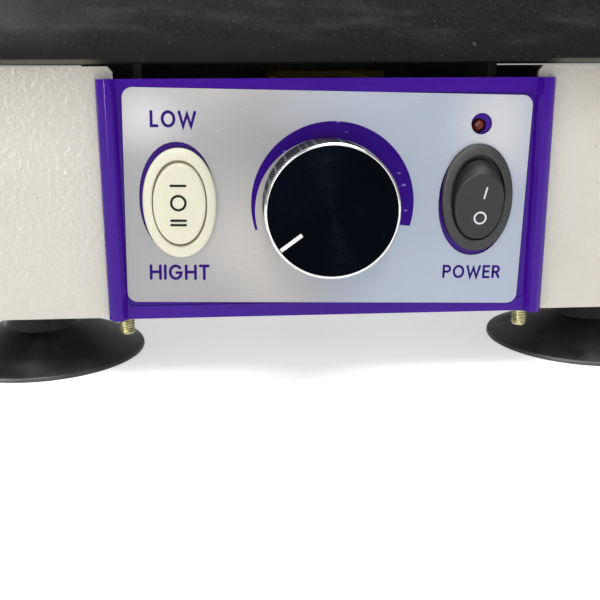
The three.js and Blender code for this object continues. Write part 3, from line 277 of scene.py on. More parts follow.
def dress(node, finish, rounding=0.0, crease=30):
    """Puts a finish on a part that keeps its shape, and lets its curved faces shine as curves."""
    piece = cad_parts[node]
    mesh = piece.data
    if "custom_normal" in mesh.attributes:
        mesh.attributes.remove(mesh.attributes["custom_normal"])
    mesh.shade_smooth()
    mesh.materials.clear()
    mesh.materials.append(finish)
    piece.modifiers.new("one_skin", "WELD").merge_threshold = SAME_SPOT
    if rounding:
        edge = piece.modifiers.new("rounded_edges", "BEVEL")
        edge.width = rounding
        edge.segments = 2
        edge.limit_method = "ANGLE"
        edge.angle_limit = math.radians(40)
        edge.harden_normals = False
    piece.modifiers.new("creases", "EDGE_SPLIT").split_angle = math.radians(crease)


zinc_place = start_finish("zinc_plate")
crystals = zinc_place.node("TexVoronoi", {}, {"Vector": zinc_place, "Scale": 320.0}, "Color").axis("X")
handling = zinc_place.scratches(0.012, 0.0005)
zinc_plate = coat(
    zinc_place,
    {
        "Base Color": crystals.tint(rgb(148, 151, 152), rgb(178, 181, 183)),
        "Metallic": 1.0,
        "Roughness": 0.38 + 0.14 * crystals - 0.1 * handling,
    },
    handling + 0.5 * zinc_place.cloud(0.004),
    depth=0.00003,
)
dress("base_plate", zinc_plate)

# ---- The suction feet ----
# Four moulded rubber cups, each with a threaded stud moulded into its hub and a flanged nut above the floor.
# The rubber is glossy where the mould was polished, and greys at the lip where it drags on the bench.


def turned(profile, centre, axis, count=96):
    """Rings of points about an upright axis, or one that runs to the back, from radius and height in mm."""
    rings = []
    for radius, along in profile:
        ring = []
        for step in range(count):
            angle = step / count * math.tau
            across, over = radius * math.cos(angle) / 1000, radius * math.sin(angle) / 1000
            turn = (across, over, along / 1000) if axis == "Z" else (across, along / 1000, over)
            ring.append(Vector(centre) + Vector(turn))
        rings.append(ring)
    return rings


def skin(rings, shape=None):
    """Joins rings of points into one surface. A sizeless ring becomes a point, and open ends are closed."""
    shape = shape or bmesh.new()
    laid = []
    for ring in rings:
        pole = all((point - ring[0]).length < 1e-7 for point in ring)
        laid.append([shape.verts.new(point) for point in (ring[:1] if pole else ring)])
    for lower, upper in zip(laid, laid[1:]):
        count = max(len(lower), len(upper))
        for step in range(count):
            after = (step + 1) % count
            corners = [
                lower[step % len(lower)],
                lower[after % len(lower)],
                upper[after % len(upper)],
                upper[step % len(upper)],
            ]
            corners = list(dict.fromkeys(corners))
            if len(corners) > 2:
                shape.faces.new(corners)
    for end in (laid[0], laid[-1]):
        if len(end) > 2:
            shape.faces.new(end)
    return shape


def middle(node):
    """The middle of a part's box, in metres."""
    low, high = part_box(node)
    return (low + high) / 2


foot_place = start_finish("cup_rubber")
foot_height = foot_place.axis("Z")
foot_bloom = foot_place.cloud(0.009, 4.0).rises(0.42, 0.75)
foot_dust = foot_place.specks(0.0011, 0.5)
lip_wear = 1 - foot_height.rises(0.0004, 0.0022)
foot_marks = 0.5 * foot_dust + 0.16 * foot_bloom + 0.06 * lip_wear
cup_rubber = coat(
    foot_place,
    {
        "Base Color": foot_marks.tint(rgb(30, 30, 30), rgb(104, 102, 99)),
        "Roughness": 0.3 + 0.1 * foot_bloom + 0.2 * lip_wear,
        "Specular IOR Level": 0.5,
    },
    foot_place.cloud(0.0007) + 0.8 * foot_place.cloud(0.006),
    depth=0.00004,
)
thread_place = start_finish("bright_thread")
thread_turns = (thread_place.axis("Z") / 0.001).wave()
bright_thread = coat(
    thread_place,
    {
        "Base Color": thread_turns.tint(rgb(120, 122, 124), rgb(196, 198, 200)),
        "Metallic": 1.0,
        "Roughness": 0.3 + 0.15 * thread_place.cloud(0.002),
    },
    thread_turns,
    depth=0.0003,
)
steel_place = start_finish("bright_steel")
steel_wear = steel_place.cloud(0.003, 3.0)
bright_steel = coat(
    steel_place,
    {
        "Base Color": steel_wear.tint(rgb(168, 170, 172), rgb(204, 205, 206)),
        "Metallic": 1.0,
        "Roughness": 0.2 + 0.2 * steel_wear,
    },
    steel_place.cloud(0.0006),
    depth=0.00001,
)
HUB_TOP = 18.1
HUB_RADIUS = 9.8
HUB_FILLET = 1.6
STUD_RADIUS = 3.3
STUD_FOOT = 12.6
CUP_RADIUS = 33.3
CUP_RISE = 10.0
CUP_BEND = 1.35
CUP_THICKNESS = 2.6
LIP_REACH = 1.2
LIP_SPREAD = 0.9
CUP_STEPS = 24
for place in ("front_left", "front_right", "rear_left", "rear_right"):
    low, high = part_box(f"suction_foot_{place}")
    centre = ((low.x + high.x) / 2, (low.y + high.y) / 2, 0)
    inside, outside = [], []
    for step in range(CUP_STEPS + 1):
        share = step / CUP_STEPS
        reach = share * (CUP_RADIUS - LIP_REACH)
        rise = CUP_RISE * (1 - share**CUP_BEND)
        inside.append((reach, rise))
        outside.append((reach + LIP_SPREAD * share, rise + CUP_THICKNESS * (1 - share / 2)))
    skirt = [spot for spot in outside if spot[0] > HUB_RADIUS + HUB_FILLET]
    lip = [(CUP_RADIUS - 0.15, 0.02), (CUP_RADIUS, 0.3), (CUP_RADIUS - 0.06, 0.8)]
    hub = [
        (HUB_RADIUS + 0.5, 12.4),
        (HUB_RADIUS, 13.4),
        (HUB_RADIUS, HUB_TOP - 1.0),
        (HUB_RADIUS - 0.3, HUB_TOP - 0.3),
        (HUB_RADIUS - 1.0, HUB_TOP),
    ]
    stud_hole = [(STUD_RADIUS, HUB_TOP), (STUD_RADIUS, STUD_FOOT), (0, STUD_FOOT)]
    profile = inside + lip + skirt[::-1] + hub + stud_hole
    cup = build(f"rubber_cup_{place}", skin(turned(profile, centre, "Z", 128)), cup_rubber)
    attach(cup, "machine")
    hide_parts(f"suction_foot_{place}")
    dress(f"foot_stud_{place}", bright_thread)
    dress(f"foot_nut_{place}", bright_steel, rounding=0.0002)

# ---- The housing ----
# A sleeve of bent steel sheet, powder-coated white, that drops over the floor and is held by four screws.
# The coat has the fine orange peel of baked powder and a little grime.

powder_place = start_finish("white_powder_coat")
peel = powder_place.cloud(0.0016, 1.5)
grime = powder_place.cloud(0.035, 5.0).rises(0.45, 0.8)
powder_pits = powder_place.specks(0.0026, 0.35)
# Painted shade: the white coat darkens towards the wall's top, where the slab overhangs it.
painted_shade_under_slab = powder_place.axis("Z").rises(0.066, 0.0915)
powder_marks_and_shade = 0.3 * grime + 0.55 * powder_pits + 0.42 * painted_shade_under_slab
white_powder = coat(
    powder_place,
    {
        "Base Color": powder_marks_and_shade.tint(rgb(206, 202, 192), rgb(160, 155, 144)),
        "Roughness": 0.32 + 0.12 * grime,
        "Specular IOR Level": 0.4,
    },
    peel + 0.35 * powder_place.cloud(0.0007, 1.0),
    depth=0.00036,
)
dress("housing", white_powder)
for place in ("front_left", "front_right", "rear_left", "rear_right"):
    dress(f"side_screw_{place}", bright_steel)

# ---- The electromagnet ----
# A stack of silicon-steel sheets with its legs up, held to the floor by a bent saddle and two bolts.
# The winding on its middle leg is wrapped in overlapping yellow tape.

lamination_place = start_finish("core_sheets")
sheets = (lamination_place.axis("Y") / 0.0005).wave()
lamination_rust = lamination_place.cloud(0.006, 5.0).rises(0.5, 0.75)
core_sheets = coat(
    lamination_place,
    {
        "Base Color": (0.45 * sheets + 0.4 * lamination_rust).tint(rgb(78, 79, 82), rgb(122, 104, 90)),
        "Metallic": 0.8,
        "Roughness": 0.5 + 0.2 * lamination_rust,
    },
    sheets,
    depth=0.00008,
)
tape_place = start_finish("yellow_tape")
TAPE_WIDTH = 0.0085
tape_turn = tape_place.axis("Z") / TAPE_WIDTH + 0.25 * tape_place.axis("X") / TAPE_WIDTH
tape_lap = tape_turn.maths("FRACT", tape_turn)
tape_wrinkle = tape_place.stretched(1, 1, 4).cloud(0.004, 3.0)
yellow_tape = coat(
    tape_place,
    {
        "Base Color": (0.6 * tape_lap + 0.3 * tape_wrinkle).tint(rgb(150, 138, 22), rgb(222, 208, 64)),
        "Roughness": 0.28 + 0.2 * tape_wrinkle,
        "Coat Weight": 0.3 * tape_lap,
    },
    tape_lap + 0.5 * tape_wrinkle,
    depth=0.0002,
)
bracket_place = start_finish("grey_bracket")
bracket_brush = bracket_place.stretched(30, 1, 1).cloud(0.02, 4.0)
grey_bracket = coat(
    bracket_place,
    {
        "Base Color": bracket_brush.tint(rgb(126, 129, 128), rgb(168, 170, 168)),
        "Metallic": 0.6,
        "Roughness": 0.38 + 0.16 * bracket_brush,
    },
    bracket_brush,
    depth=0.00003,
)
dress("magnet_core", core_sheets, rounding=0.0002)
dress("magnet_coil", yellow_tape, rounding=0.0008)
dress("magnet_saddle", grey_bracket, rounding=0.0003)
dress("magnet_bolt_left", bright_thread)
dress("magnet_bolt_right", bright_thread)

# ---- The rubber buffers ----
# Four waisted blocks of soft black rubber that carry the table's hangers and let it shake.

buffer_place = start_finish("buffer_rubber")
buffer_dust = buffer_place.cloud(0.003, 4.0).rises(0.5, 0.8)
buffer_rubber = coat(
    buffer_place,
    {
        "Base Color": buffer_dust.tint(rgb(30, 30, 31), rgb(64, 63, 60)),
        "Roughness": 0.62 + 0.2 * buffer_dust,
    },
    buffer_place.cloud(0.0005),
    depth=0.00004,
)
for place in ("front_left", "front_right", "rear_left", "rear_right"):
    dress(f"buffer_{place}", buffer_rubber, crease=50)

# ---- The shaking table's ironwork ----
# Two bent hangers and an angle bar spot-welded under a steel plate, and the keeper that the magnet pulls.

dress("hanger_left", grey_bracket, rounding=0.0004)
dress("hanger_right", grey_bracket, rounding=0.0004)
dress("armature", core_sheets, rounding=0.0002)
dress("table_stiffener", grey_bracket)
dress("table_plate", zinc_plate)
weld_place = start_finish("spot_weld")
weld_scale = weld_place.cloud(0.0012)
spot_weld = coat(
    weld_place,
    {
        "Base Color": weld_scale.tint(rgb(70, 66, 62), rgb(126, 118, 108)),
        "Metallic": 0.8,
        "Roughness": 0.5 + 0.2 * weld_scale,
    },
    weld_scale,
    depth=0.00005,
)
WELD_FROM_MIDDLE = 0.051
WELD_PITCH = 0.024
WELD_DROP = 0.003
WELD_DIMPLE = [(0, -0.35), (1.6, -0.3), (2.3, -0.1), (2.6, 0.05), (0, 0.05)]
for side, hanger in ((-1, "hanger_left"), (1, "hanger_right")):
    flange_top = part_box(hanger)[1].z
    dimples = bmesh.new()
    for step in (-2, -1, 0, 1, 2):
        centre = (side * WELD_FROM_MIDDLE, middle(hanger).y + step * WELD_PITCH, flange_top - WELD_DROP)
        skin(turned(WELD_DIMPLE, centre, "Z", 24), dimples)
    welds = build(f"weld_marks_{hanger}", dimples, spot_weld)
    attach(welds, "table")

# ---- The rubber slab ----
# A thick slab of black rubber moulded over the table plate, with a low rim round its top for the moulds.
# It carries plaster dust in its pores and faint streaks from wiping. Painted sheen greys it towards its left
# end, and a painted reflection of the white wall lightens its lower bevel.

slab_place = start_finish("slab_rubber")
slab_streak = slab_place.stretched(1, 1, 5).cloud(0.02, 5.0).rises(0.45, 0.8)
slab_patch = slab_place.stretched(1, 1, 2).cloud(0.06, 3.0)
slab_grain = slab_place.cloud(0.0008, 3.0)
slab_dust = slab_place.specks(0.0009, 0.6)
slab_chips = slab_place.specks(0.0045, 0.2)
slab_rise = slab_place.axis("Z").rises(0.0925, 0.104)
# Painted sheen: greyer patches that grow towards the slab's left end, where light rakes across it.
slab_painted_sheen = (0.5 - slab_place.axis("X") / 0.18) * slab_patch
# Painted reflection: the slab's lower bevel over the side walls is lightened to a beige grey, as the white
# wall below mirrored in it.
slab_side = slab_place.axis("X").maths("ABSOLUTE", slab_place.axis("X")).rises(0.062, 0.07)
slab_bevel_wall_reflection = (1 - slab_place.axis("Z").rises(0.0933, 0.094)) * slab_side
slab_marks_and_sheen = (
    0.6 * slab_dust
    + 0.75 * slab_chips
    + slab_rise * (0.16 * slab_streak + 0.26 * slab_painted_sheen.rises(0.25, 0.8) + 0.16 * slab_grain - 0.06)
)
slab_black = slab_marks_and_sheen.tint(rgb(15, 15, 16), rgb(112, 113, 117))
slab_rubber = coat(
    slab_place,
    {
        "Base Color": slab_bevel_wall_reflection.tint(slab_black, rgb(84, 81, 72)),
        "Roughness": 0.5 + 0.16 * slab_patch + 0.1 * slab_streak,
        "Specular IOR Level": 0.1,
    },
    slab_grain + 0.7 * slab_streak,
    depth=0.00007,
)
dress("rubber_slab", slab_rubber)

# ---- The control panel ----
# One injection-moulded piece in glossy purple plastic: a flat face between two rounded ridges, with lugs
# behind that grip the housing's wall. It shows shallow sink marks and light rubbing on the ridges.

purple_place = start_finish("purple_plastic")
sink_marks = purple_place.cloud(0.022, 2.0)
rubbing = purple_place.stretched(1, 1, 5).cloud(0.006, 4.0).rises(0.55, 0.85)
purple_plastic = coat(
    purple_place,
    {
        "Base Color": (0.35 * sink_marks + 0.25 * rubbing).tint(rgb(56, 4, 136), rgb(80, 34, 152)),
        "Roughness": 0.13 + 0.12 * rubbing,
        "Specular IOR Level": 0.16,
    },
    0.8 * sink_marks + 0.15 * purple_place.cloud(0.0012),
    depth=0.0001,
)
dress("control_panel", purple_plastic, crease=24)

# ---- The printed label ----
# A silver satin film with rounded corners, stuck on by hand and so turned a little clockwise. Purple letters
# mark the switches, and a rising purple wedge round the knob stands for the strength of the shaking.

film_place = start_finish("silver_film")
film_glow = film_place.stretched(1, 1, 1.4).cloud(0.075, 1.5)
# Painted reflection: the film is a warmer grey in patches and bluer towards its right, as the room mirrored
# in it.
film_warm_reflection = film_place.moved(-0.03, 0, 0.03).cloud(0.05, 1.0)
film_cool_reflection = (film_place.axis("X") / 0.11 + film_glow).rises(0.25, 0.8)
film_marks = film_place.scratches(0.004, 0.00025)


def painted_highlight(x, z, stretch, reach):
    """A soft round painted highlight on the film, brightest at its middle, in metres."""
    away = film_place.moved(x, 0, z).stretched(*stretch)
    return 1 - away.node("VectorMath", {"operation": "LENGTH"}, {0: away}, "Value").rises(0.0, reach)


# Painted highlights: bright spots on the film near the lamp and at its upper left corner.
highlight_near_lamp = painted_highlight(0.05, 0.075, (1, 0, 0.8), 0.02)
highlight_at_corner = painted_highlight(-0.052, 0.078, (0.8, 0, 1), 0.014)
film_grey_and_warm_reflection = film_warm_reflection.rises(0.3, 0.7).tint(rgb(142, 142, 145), rgb(170, 167, 165))
film_silver_and_reflections = film_cool_reflection.tint(film_grey_and_warm_reflection, rgb(157, 165, 180))
silver_film = coat(
    film_place,
    {
        "Base Color": (0.75 * highlight_near_lamp + 0.6 * highlight_at_corner).tint(film_silver_and_reflections, rgb(200, 199, 200)),
        "Metallic": 0.55,
        "Roughness": 0.36 + 0.1 * film_glow - 0.12 * film_marks,
        "Coat Weight": 0.15 * film_glow,
    },
    film_place.cloud(0.03) + 0.1 * film_marks,
    depth=0.0002,
)
dress("panel_label", silver_film)

label_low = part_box("panel_label")[0]
PANEL_MIDDLE_Z = 53.4
FILM_TURN = math.radians(1.43)
INK_LIFT = 0.02
INK_LAYER = 0.004


def round_bend(x, z, radius_x, radius_z, start, end, steps=18):
    """Points along part of an oval, by the angles in degrees at its two ends."""
    points = []
    for step in range(steps + 1):
        angle = math.radians(start + (end - start) * step / steps)
        points.append((x + radius_x * math.cos(angle), z + radius_z * math.sin(angle)))
    return points


SHARPEST_LEAN = 0.35
TIP_SWEEP = 75


def pen_line(points, width):
    """The outline of a line drawn with a round-ended pen."""
    half = width / 2
    spots = [Vector(point) for point in points]
    left, turned_back = [], []
    for index, spot in enumerate(spots):
        before = (spot - spots[index - 1]).normalized() if index else None
        after = (spots[index + 1] - spot).normalized() if index + 1 < len(spots) else None
        along = ((before or after) + (after or before)).normalized()
        lean = along.dot(after or before)
        side = Vector((-along.y, along.x)) * half / max(lean, SHARPEST_LEAN)
        left.append(spot + side)
        turned_back.append(spot - side)
    tip_angle = math.degrees(math.atan2(*(spots[-1] - spots[-2]).yx))
    tail_angle = math.degrees(math.atan2(*(spots[0] - spots[1]).yx))
    tip = round_bend(*spots[-1], half, half, tip_angle + TIP_SWEEP, tip_angle - TIP_SWEEP, 8)
    tail = round_bend(*spots[0], half, half, tail_angle + TIP_SWEEP, tail_angle - TIP_SWEEP, 8)
    return [*left, *map(Vector, tip), *reversed(turned_back), *map(Vector, tail)]


OVAL_STEPS = 40


def print_on(name, strokes, rings, width, spread, ink, body):
    """Prints open strokes and closed oval rings. spread lays a flat point, in mm, on the surface."""
    ink_shape = bmesh.new()
    for layer, stroke in enumerate(strokes):
        outline = pen_line(stroke, width)
        ink_shape.faces.new([ink_shape.verts.new(spread(x, z, layer)) for x, z in outline])
    for layer, (x, z, radius_x, radius_z) in enumerate(rings, len(strokes)):
        outer = round_bend(x, z, radius_x + width / 2, radius_z + width / 2, 0, 360, OVAL_STEPS)[:-1]
        inner = round_bend(x, z, radius_x - width / 2, radius_z - width / 2, 0, 360, OVAL_STEPS)[:-1]
        outer = [ink_shape.verts.new(spread(*point, layer)) for point in outer]
        inner = [ink_shape.verts.new(spread(*point, layer)) for point in inner]
        for step in range(OVAL_STEPS):
            after = (step + 1) % OVAL_STEPS
            ink_shape.faces.new([outer[step], outer[after], inner[after], inner[step]])
    printed = build(name, ink_shape, ink)
    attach(printed, body)


BOWL = round_bend(0.26, 0.74, 0.26, 0.26, 80, -90)
WIDE_BOWL = round_bend(0.28, 0.74, 0.28, 0.26, 80, -90)
LETTERS = {
    "L": (0.42, [[(0, 1), (0, 0), (0.42, 0)]], []),
    "O": (0.84, [], [(0.42, 0.5, 0.42, 0.5)]),
    "W": (1.12, [[(0, 1), (0.28, 0), (0.56, 0.86), (0.84, 0), (1.12, 1)]], []),
    "H": (0.7, [[(0, 0), (0, 1)], [(0.7, 0), (0.7, 1)], [(0, 0.52), (0.7, 0.52)]], []),
    "I": (0.0, [[(0, 0), (0, 1)]], []),
    "G": (0.84, [[*round_bend(0.42, 0.5, 0.42, 0.5, 42, 356), (0.5, 0.47)]], []),
    "T": (0.6, [[(0.3, 0), (0.3, 1)], [(0, 1), (0.6, 1)]], []),
    "P": (0.56, [[(0, 0), (0, 1), (0.28, 1), *WIDE_BOWL, (0.02, 0.48)]], []),
    "E": (0.48, [[(0.48, 1), (0, 1), (0, 0), (0.48, 0)], [(0, 0.52), (0.42, 0.52)]], []),
    "R": (0.54, [[(0, 0), (0, 1), (0.26, 1), *BOWL, (0.02, 0.48)], [(0.28, 0.48), (0.54, 0)]], []),
}


def film_point(x, z, layer):
    """A spot just in front of the film."""
    lift = INK_LIFT + INK_LAYER * layer
    return Vector((x / 1000, label_low.y - lift / 1000, (z + PANEL_MIDDLE_Z) / 1000))


def word(text, left, foot, cap, gap, width):
    """Prints a word on the film, following its turn, from left and foot in mm from the panel's middle."""
    strokes, rings, reach = [], [], 0.0
    for letter in text:
        advance, lines, loops = LETTERS[letter]

        def settle(x, z):
            across, over = (reach + x) * cap, z * cap
            return (
                left + across * math.cos(FILM_TURN) + over * math.sin(FILM_TURN),
                foot - across * math.sin(FILM_TURN) + over * math.cos(FILM_TURN),
            )

        strokes += [[settle(*point) for point in line] for line in lines]
        rings += [(*settle(x, z), radius_x * cap, radius_z * cap) for x, z, radius_x, radius_z in loops]
        reach += advance + gap
    name = f"print_{text.lower()}"
    print_on(name, strokes, rings, width, film_point, purple_ink, "machine")


ink_place = start_finish("purple_ink")
ink_mottle = ink_place.cloud(0.0011, 3.0)
purple_ink = coat(
    ink_place,
    {
        "Base Color": (0.3 * ink_mottle).tint(rgb(42, 6, 110), rgb(70, 34, 136)),
        "Roughness": 0.34 + 0.2 * ink_mottle,
        "Specular IOR Level": 0.06,
    },
    ink_mottle,
    depth=0.00001,
)
word("LOW", left=-50.9, foot=22.1, cap=3.95, gap=0.37, width=0.86)
word("HIGHT", left=-53.0, foot=-22.5, cap=3.9, gap=0.37, width=0.84)
word("POWER", left=35.0, foot=-23.8, cap=3.4, gap=0.37, width=0.72)

WEDGE_OUTER = (1.1, -1.1, 24.1, 24.1)
WEDGE_INNER = (-0.6, -3.0, 21.25, 21.25)
WEDGE_STEPS = 72
outer_edge = round_bend(*WEDGE_OUTER, 198.2, -16.4, WEDGE_STEPS)
inner_edge = round_bend(*WEDGE_INNER, 194.0, -12.2, WEDGE_STEPS)
wedge_shape = bmesh.new()
outer_edge = [wedge_shape.verts.new(film_point(*point, 0)) for point in outer_edge]
inner_edge = [wedge_shape.verts.new(film_point(*point, 0)) for point in inner_edge]
for step in range(WEDGE_STEPS):
    wedge_shape.faces.new([outer_edge[step], outer_edge[step + 1], inner_edge[step + 1], inner_edge[step]])
wedge_ink = start_finish("wedge_ink")
wedge_mottle = wedge_ink.cloud(0.004, 3.0)
wedge_nicks = wedge_ink.stretched(0.8, 1, 1.6).specks(0.0034, 0.75)
wedge_purple = coat(
    wedge_ink,
    {
        "Base Color": (0.03 * wedge_mottle + 0.7 * wedge_nicks).tint(rgb(48, 3, 128), rgb(168, 146, 214)),
        "Roughness": 0.3 + 0.2 * wedge_mottle,
        "Specular IOR Level": 0.03,
    },
    wedge_mottle,
    depth=0.00002,
)
strength_wedge = build("print_strength_wedge", wedge_shape, wedge_purple)
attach(strength_wedge, "machine")

# ---- The panel screws ----
# Two M5 screws in yellow zinc, with rolled threads. They tie the panel's lugs to the steel floor, and their
# ends show below.

yellow_place = start_finish("yellow_zinc")
yellow_haze = yellow_place.cloud(0.0022, 3.0)
yellow_zinc = coat(
    yellow_place,
    {
        "Base Color": yellow_haze.rises(0.3, 0.7).tint(rgb(150, 146, 112), rgb(214, 210, 170)),
        "Metallic": 1.0,
        "Roughness": 0.26 + 0.2 * yellow_haze,
    },
    yellow_haze,
    depth=0.00003,
)
SCREW_RADIUS = 2.42
SCREW_TIP_Z = 11.9
SCREW_PITCH = 0.8
SCREW_TURNS = 9
THREAD_CREST = SCREW_RADIUS - 0.04
THREAD_ROOT = SCREW_RADIUS - 0.36
HEAD_RADIUS = 4.2
HEAD_HEIGHT = 2.8
for side in ("left", "right"):
    screw_axis = middle(f"panel_screw_{side}")
    head_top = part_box(f"panel_screw_{side}")[1].z * 1000
    seat = head_top - HEAD_HEIGHT
    screw_profile = [(0, SCREW_TIP_Z), (SCREW_RADIUS - 0.5, SCREW_TIP_Z), (THREAD_ROOT, SCREW_TIP_Z + 0.2)]
    for turn in range(SCREW_TURNS):
        root_z = SCREW_TIP_Z + 0.3 + turn * SCREW_PITCH
        screw_profile += [(THREAD_CREST, root_z + 0.3), (THREAD_CREST, root_z + 0.42)]
        screw_profile += [(THREAD_ROOT, root_z + 0.72)]
    screw_profile += [
        (SCREW_RADIUS, SCREW_TIP_Z + (SCREW_TURNS + 1) * SCREW_PITCH),
        (SCREW_RADIUS, seat),
        (HEAD_RADIUS - 0.15, seat),
        (HEAD_RADIUS, seat + 0.15),
        (HEAD_RADIUS, seat + 0.65 * HEAD_HEIGHT),
        (HEAD_RADIUS - 0.5, seat + 0.88 * HEAD_HEIGHT),
        (0.7 * HEAD_RADIUS, head_top - 0.02),
        (0, head_top - 0.02),
    ]
    screw_foot = (screw_axis.x, screw_axis.y, 0)
    screw = build(f"threaded_screw_{side}", skin(turned(screw_profile, screw_foot, "Z", 48)), yellow_zinc, 25)
    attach(screw, "machine")
    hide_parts(f"panel_screw_{side}")

# ---- The rocker switches ----
# Two snap-in switches with oval bezels: an ivory one with three positions for the speed, and a black one for
# the power. Each is a moulded body with brass blades behind, and a rocker that turns in its well.

BEZEL_WIDTH, BEZEL_HEIGHT = 21.3, 31.9
WINDOW_WIDTH, WINDOW_HEIGHT = 15.9, 25.1
RIM_WIDTH = 1.9
RIM_PROFILE = [
    (0.0, -0.02), (0.0, -0.7), (0.04, -0.98), (0.14, -1.22), (0.3, -1.4), (0.6, -1.52),
    (1.2, -1.7), (1.62, -1.79), (1.76, -1.78), (1.86, -1.68), (RIM_WIDTH, -1.5),
]
WELL_DEPTH = 11.5
BODY_HALF_WIDTH, BODY_HALF_HEIGHT = 8.4, 13.7
BLADE_HALF_WIDTH, BLADE_HALF_THICKNESS = 2.4, 0.4
BLADE_LENGTH = 8
BLADE_SPACING = 8
RING_STEPS = 96
OVAL_POWER = 2 / 2.08


def flat_sided(step):
    """One of the points round an oval with slightly flattened sides, from -1 to 1 each way."""
    across, over = math.cos(step / RING_STEPS * math.tau), math.sin(step / RING_STEPS * math.tau)
    return math.copysign(abs(across) ** OVAL_POWER, across), math.copysign(abs(over) ** OVAL_POWER, over)


def oval_ring(x, z, width, height, y):
    """A ring of points on the switches' oval, in mm, with y from the label's face."""
    ring = []
    plane = label_low.y + y / 1000
    for step in range(RING_STEPS):
        across, over = flat_sided(step)
        ring.append(Vector(((x + across * width / 2) / 1000, plane, (z + over * height / 2) / 1000)))
    return ring


def bar(shape, low, high, edge=0.0003):
    """A moulded block with eased edges, between two corners in metres."""
    made = bmesh.ops.create_cube(shape, size=1.0)["verts"]
    bmesh.ops.scale(shape, vec=high - low, verts=made)
    bmesh.ops.translate(shape, vec=(high + low) / 2, verts=made)
    edges = list({edge_line for vert in made for edge_line in vert.link_edges})
    bmesh.ops.bevel(shape, geom=edges, offset=edge, segments=2, affect="EDGES", profile=0.5)


def switch(kind, x, z, blade_rows, plastic):
    """The bezel, body and blades of one switch, in place of its plain CAD solid."""
    rings = []
    for inwards, y in RIM_PROFILE:
        share = inwards / RIM_WIDTH
        width = BEZEL_WIDTH * (1 - share) + WINDOW_WIDTH * share
        height = BEZEL_HEIGHT * (1 - share) + WINDOW_HEIGHT * share
        rings.append(oval_ring(x, z, width, height, y))
    rings.append(oval_ring(x, z, WINDOW_WIDTH, WINDOW_HEIGHT, WELL_DEPTH))
    frame_shape = skin(rings)
    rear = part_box(f"{kind}_switch_body")[1].y * 1000
    back = rear - BLADE_LENGTH

    def block(corner, far_corner, edge=0.3):
        (x1, y1, z1), (x2, y2, z2) = corner, far_corner
        bar(frame_shape, Vector((x1, y1, z1)) / 1000, Vector((x2, y2, z2)) / 1000, edge / 1000)

    face = label_low.y * 1000
    left, right = x - BODY_HALF_WIDTH, x + BODY_HALF_WIDTH
    bottom, top = z - BODY_HALF_HEIGHT, z + BODY_HALF_HEIGHT
    block((left, face + WELL_DEPTH, bottom), (right, back, top))
    for side in (-1, 1):
        wall = x + side * (BODY_HALF_WIDTH - 0.2)
        end = z + side * (BODY_HALF_HEIGHT - 0.6)
        block((wall - 0.2, face + 3.6, bottom), (wall + 0.2, face + WELL_DEPTH + 0.1, top), 0.08)
        block((left, face + 3.6, end - 0.5), (right, face + WELL_DEPTH + 0.1, end + 0.5), 0.08)
    bezel = build(f"{kind}_switch_bezel", frame_shape, plastic, 40)
    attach(bezel, "machine")
    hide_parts(f"{kind}_switch_body")
    blade_shape = bmesh.new()
    for row in range(blade_rows):
        blade_z = z + (row - (blade_rows - 1) / 2) * BLADE_SPACING
        low = Vector((x - BLADE_HALF_THICKNESS, back - 0.5, blade_z - BLADE_HALF_WIDTH)) / 1000
        high = Vector((x + BLADE_HALF_THICKNESS, rear, blade_z + BLADE_HALF_WIDTH)) / 1000
        bar(blade_shape, low, high, 0.00015)
    blades = build(f"{kind}_switch_blades", blade_shape, brass)
    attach(blades, "machine")


ROCKER_RADIUS = 12.1
ROCKER_SLACK = 0.05
ROCKER_BACK = 5.5
BACK_HALF_WIDTH, BACK_HALF_HEIGHT = 7.2, 9.6
EDGE_DROP = 0.42
FACE_RINGS = (
    (0, 0), (0.2, 0), (0.4, 0), (0.6, 0), (0.78, 0), (0.9, 0), (0.955, 0.02), (0.985, 0.16), (1.0, EDGE_DROP),
)
SIDE_RINGS = (0.15, 0.35, 0.6, 0.85, 1.0)
MARK_LIFT = 0.05


def rocker(kind, x, z, half_width, pivot, crown, dish, tilt, twist, more_below, more_above, plastic):
    """A rocker, and the function that lays a printed mark on its dished face."""
    hinge = Vector((x / 1000, label_low.y + pivot / 1000, z / 1000))
    lean = Matrix.Rotation(math.radians(tilt), 3, "X") @ Matrix.Rotation(math.radians(twist), 3, "Y")
    face_half = math.sqrt(ROCKER_RADIUS**2 - crown**2) - ROCKER_SLACK
    below, above = face_half + more_below, face_half + more_above

    def face(along):
        share = min(max((along + below) / (below + above), 0), 1)
        return -crown + dish * 4 * share * (1 - share)

    def set_in(x_off, y, along):
        return hinge + lean @ (Vector((x_off, y, along)) / 1000)

    def lay(x_off, along, layer):
        return set_in(x_off, face(along) - MARK_LIFT - INK_LAYER * layer, along)

    rings = []
    for size, sink in FACE_RINGS:
        ring = []
        for step in range(RING_STEPS):
            across, over = flat_sided(step)
            over *= (above if over > 0 else below) * size
            ring.append(set_in(across * half_width * size, face(over) + sink, over))
        rings.append(ring)
    for share in SIDE_RINGS:
        ring = []
        for step in range(RING_STEPS):
            across, over = flat_sided(step)
            edge = above if over > 0 else below
            reach = min(edge + (ROCKER_RADIUS - edge) * math.sqrt(share), ROCKER_RADIUS)
            ring.append(set_in(across * half_width, (EDGE_DROP - crown) * (1 - share), over * reach))
        rings.append(ring)
    turns = [step / RING_STEPS * math.tau for step in range(RING_STEPS)]
    back = [(BACK_HALF_WIDTH * math.cos(turn), BACK_HALF_HEIGHT * math.sin(turn)) for turn in turns]
    rings.append([set_in(x_off, ROCKER_BACK, along) for x_off, along in back])
    made = build(f"{kind}_rocker", skin(rings), plastic, 42)
    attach(made, f"{kind}_rocker")
    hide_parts(f"{kind}_switch_rocker")
    return lay


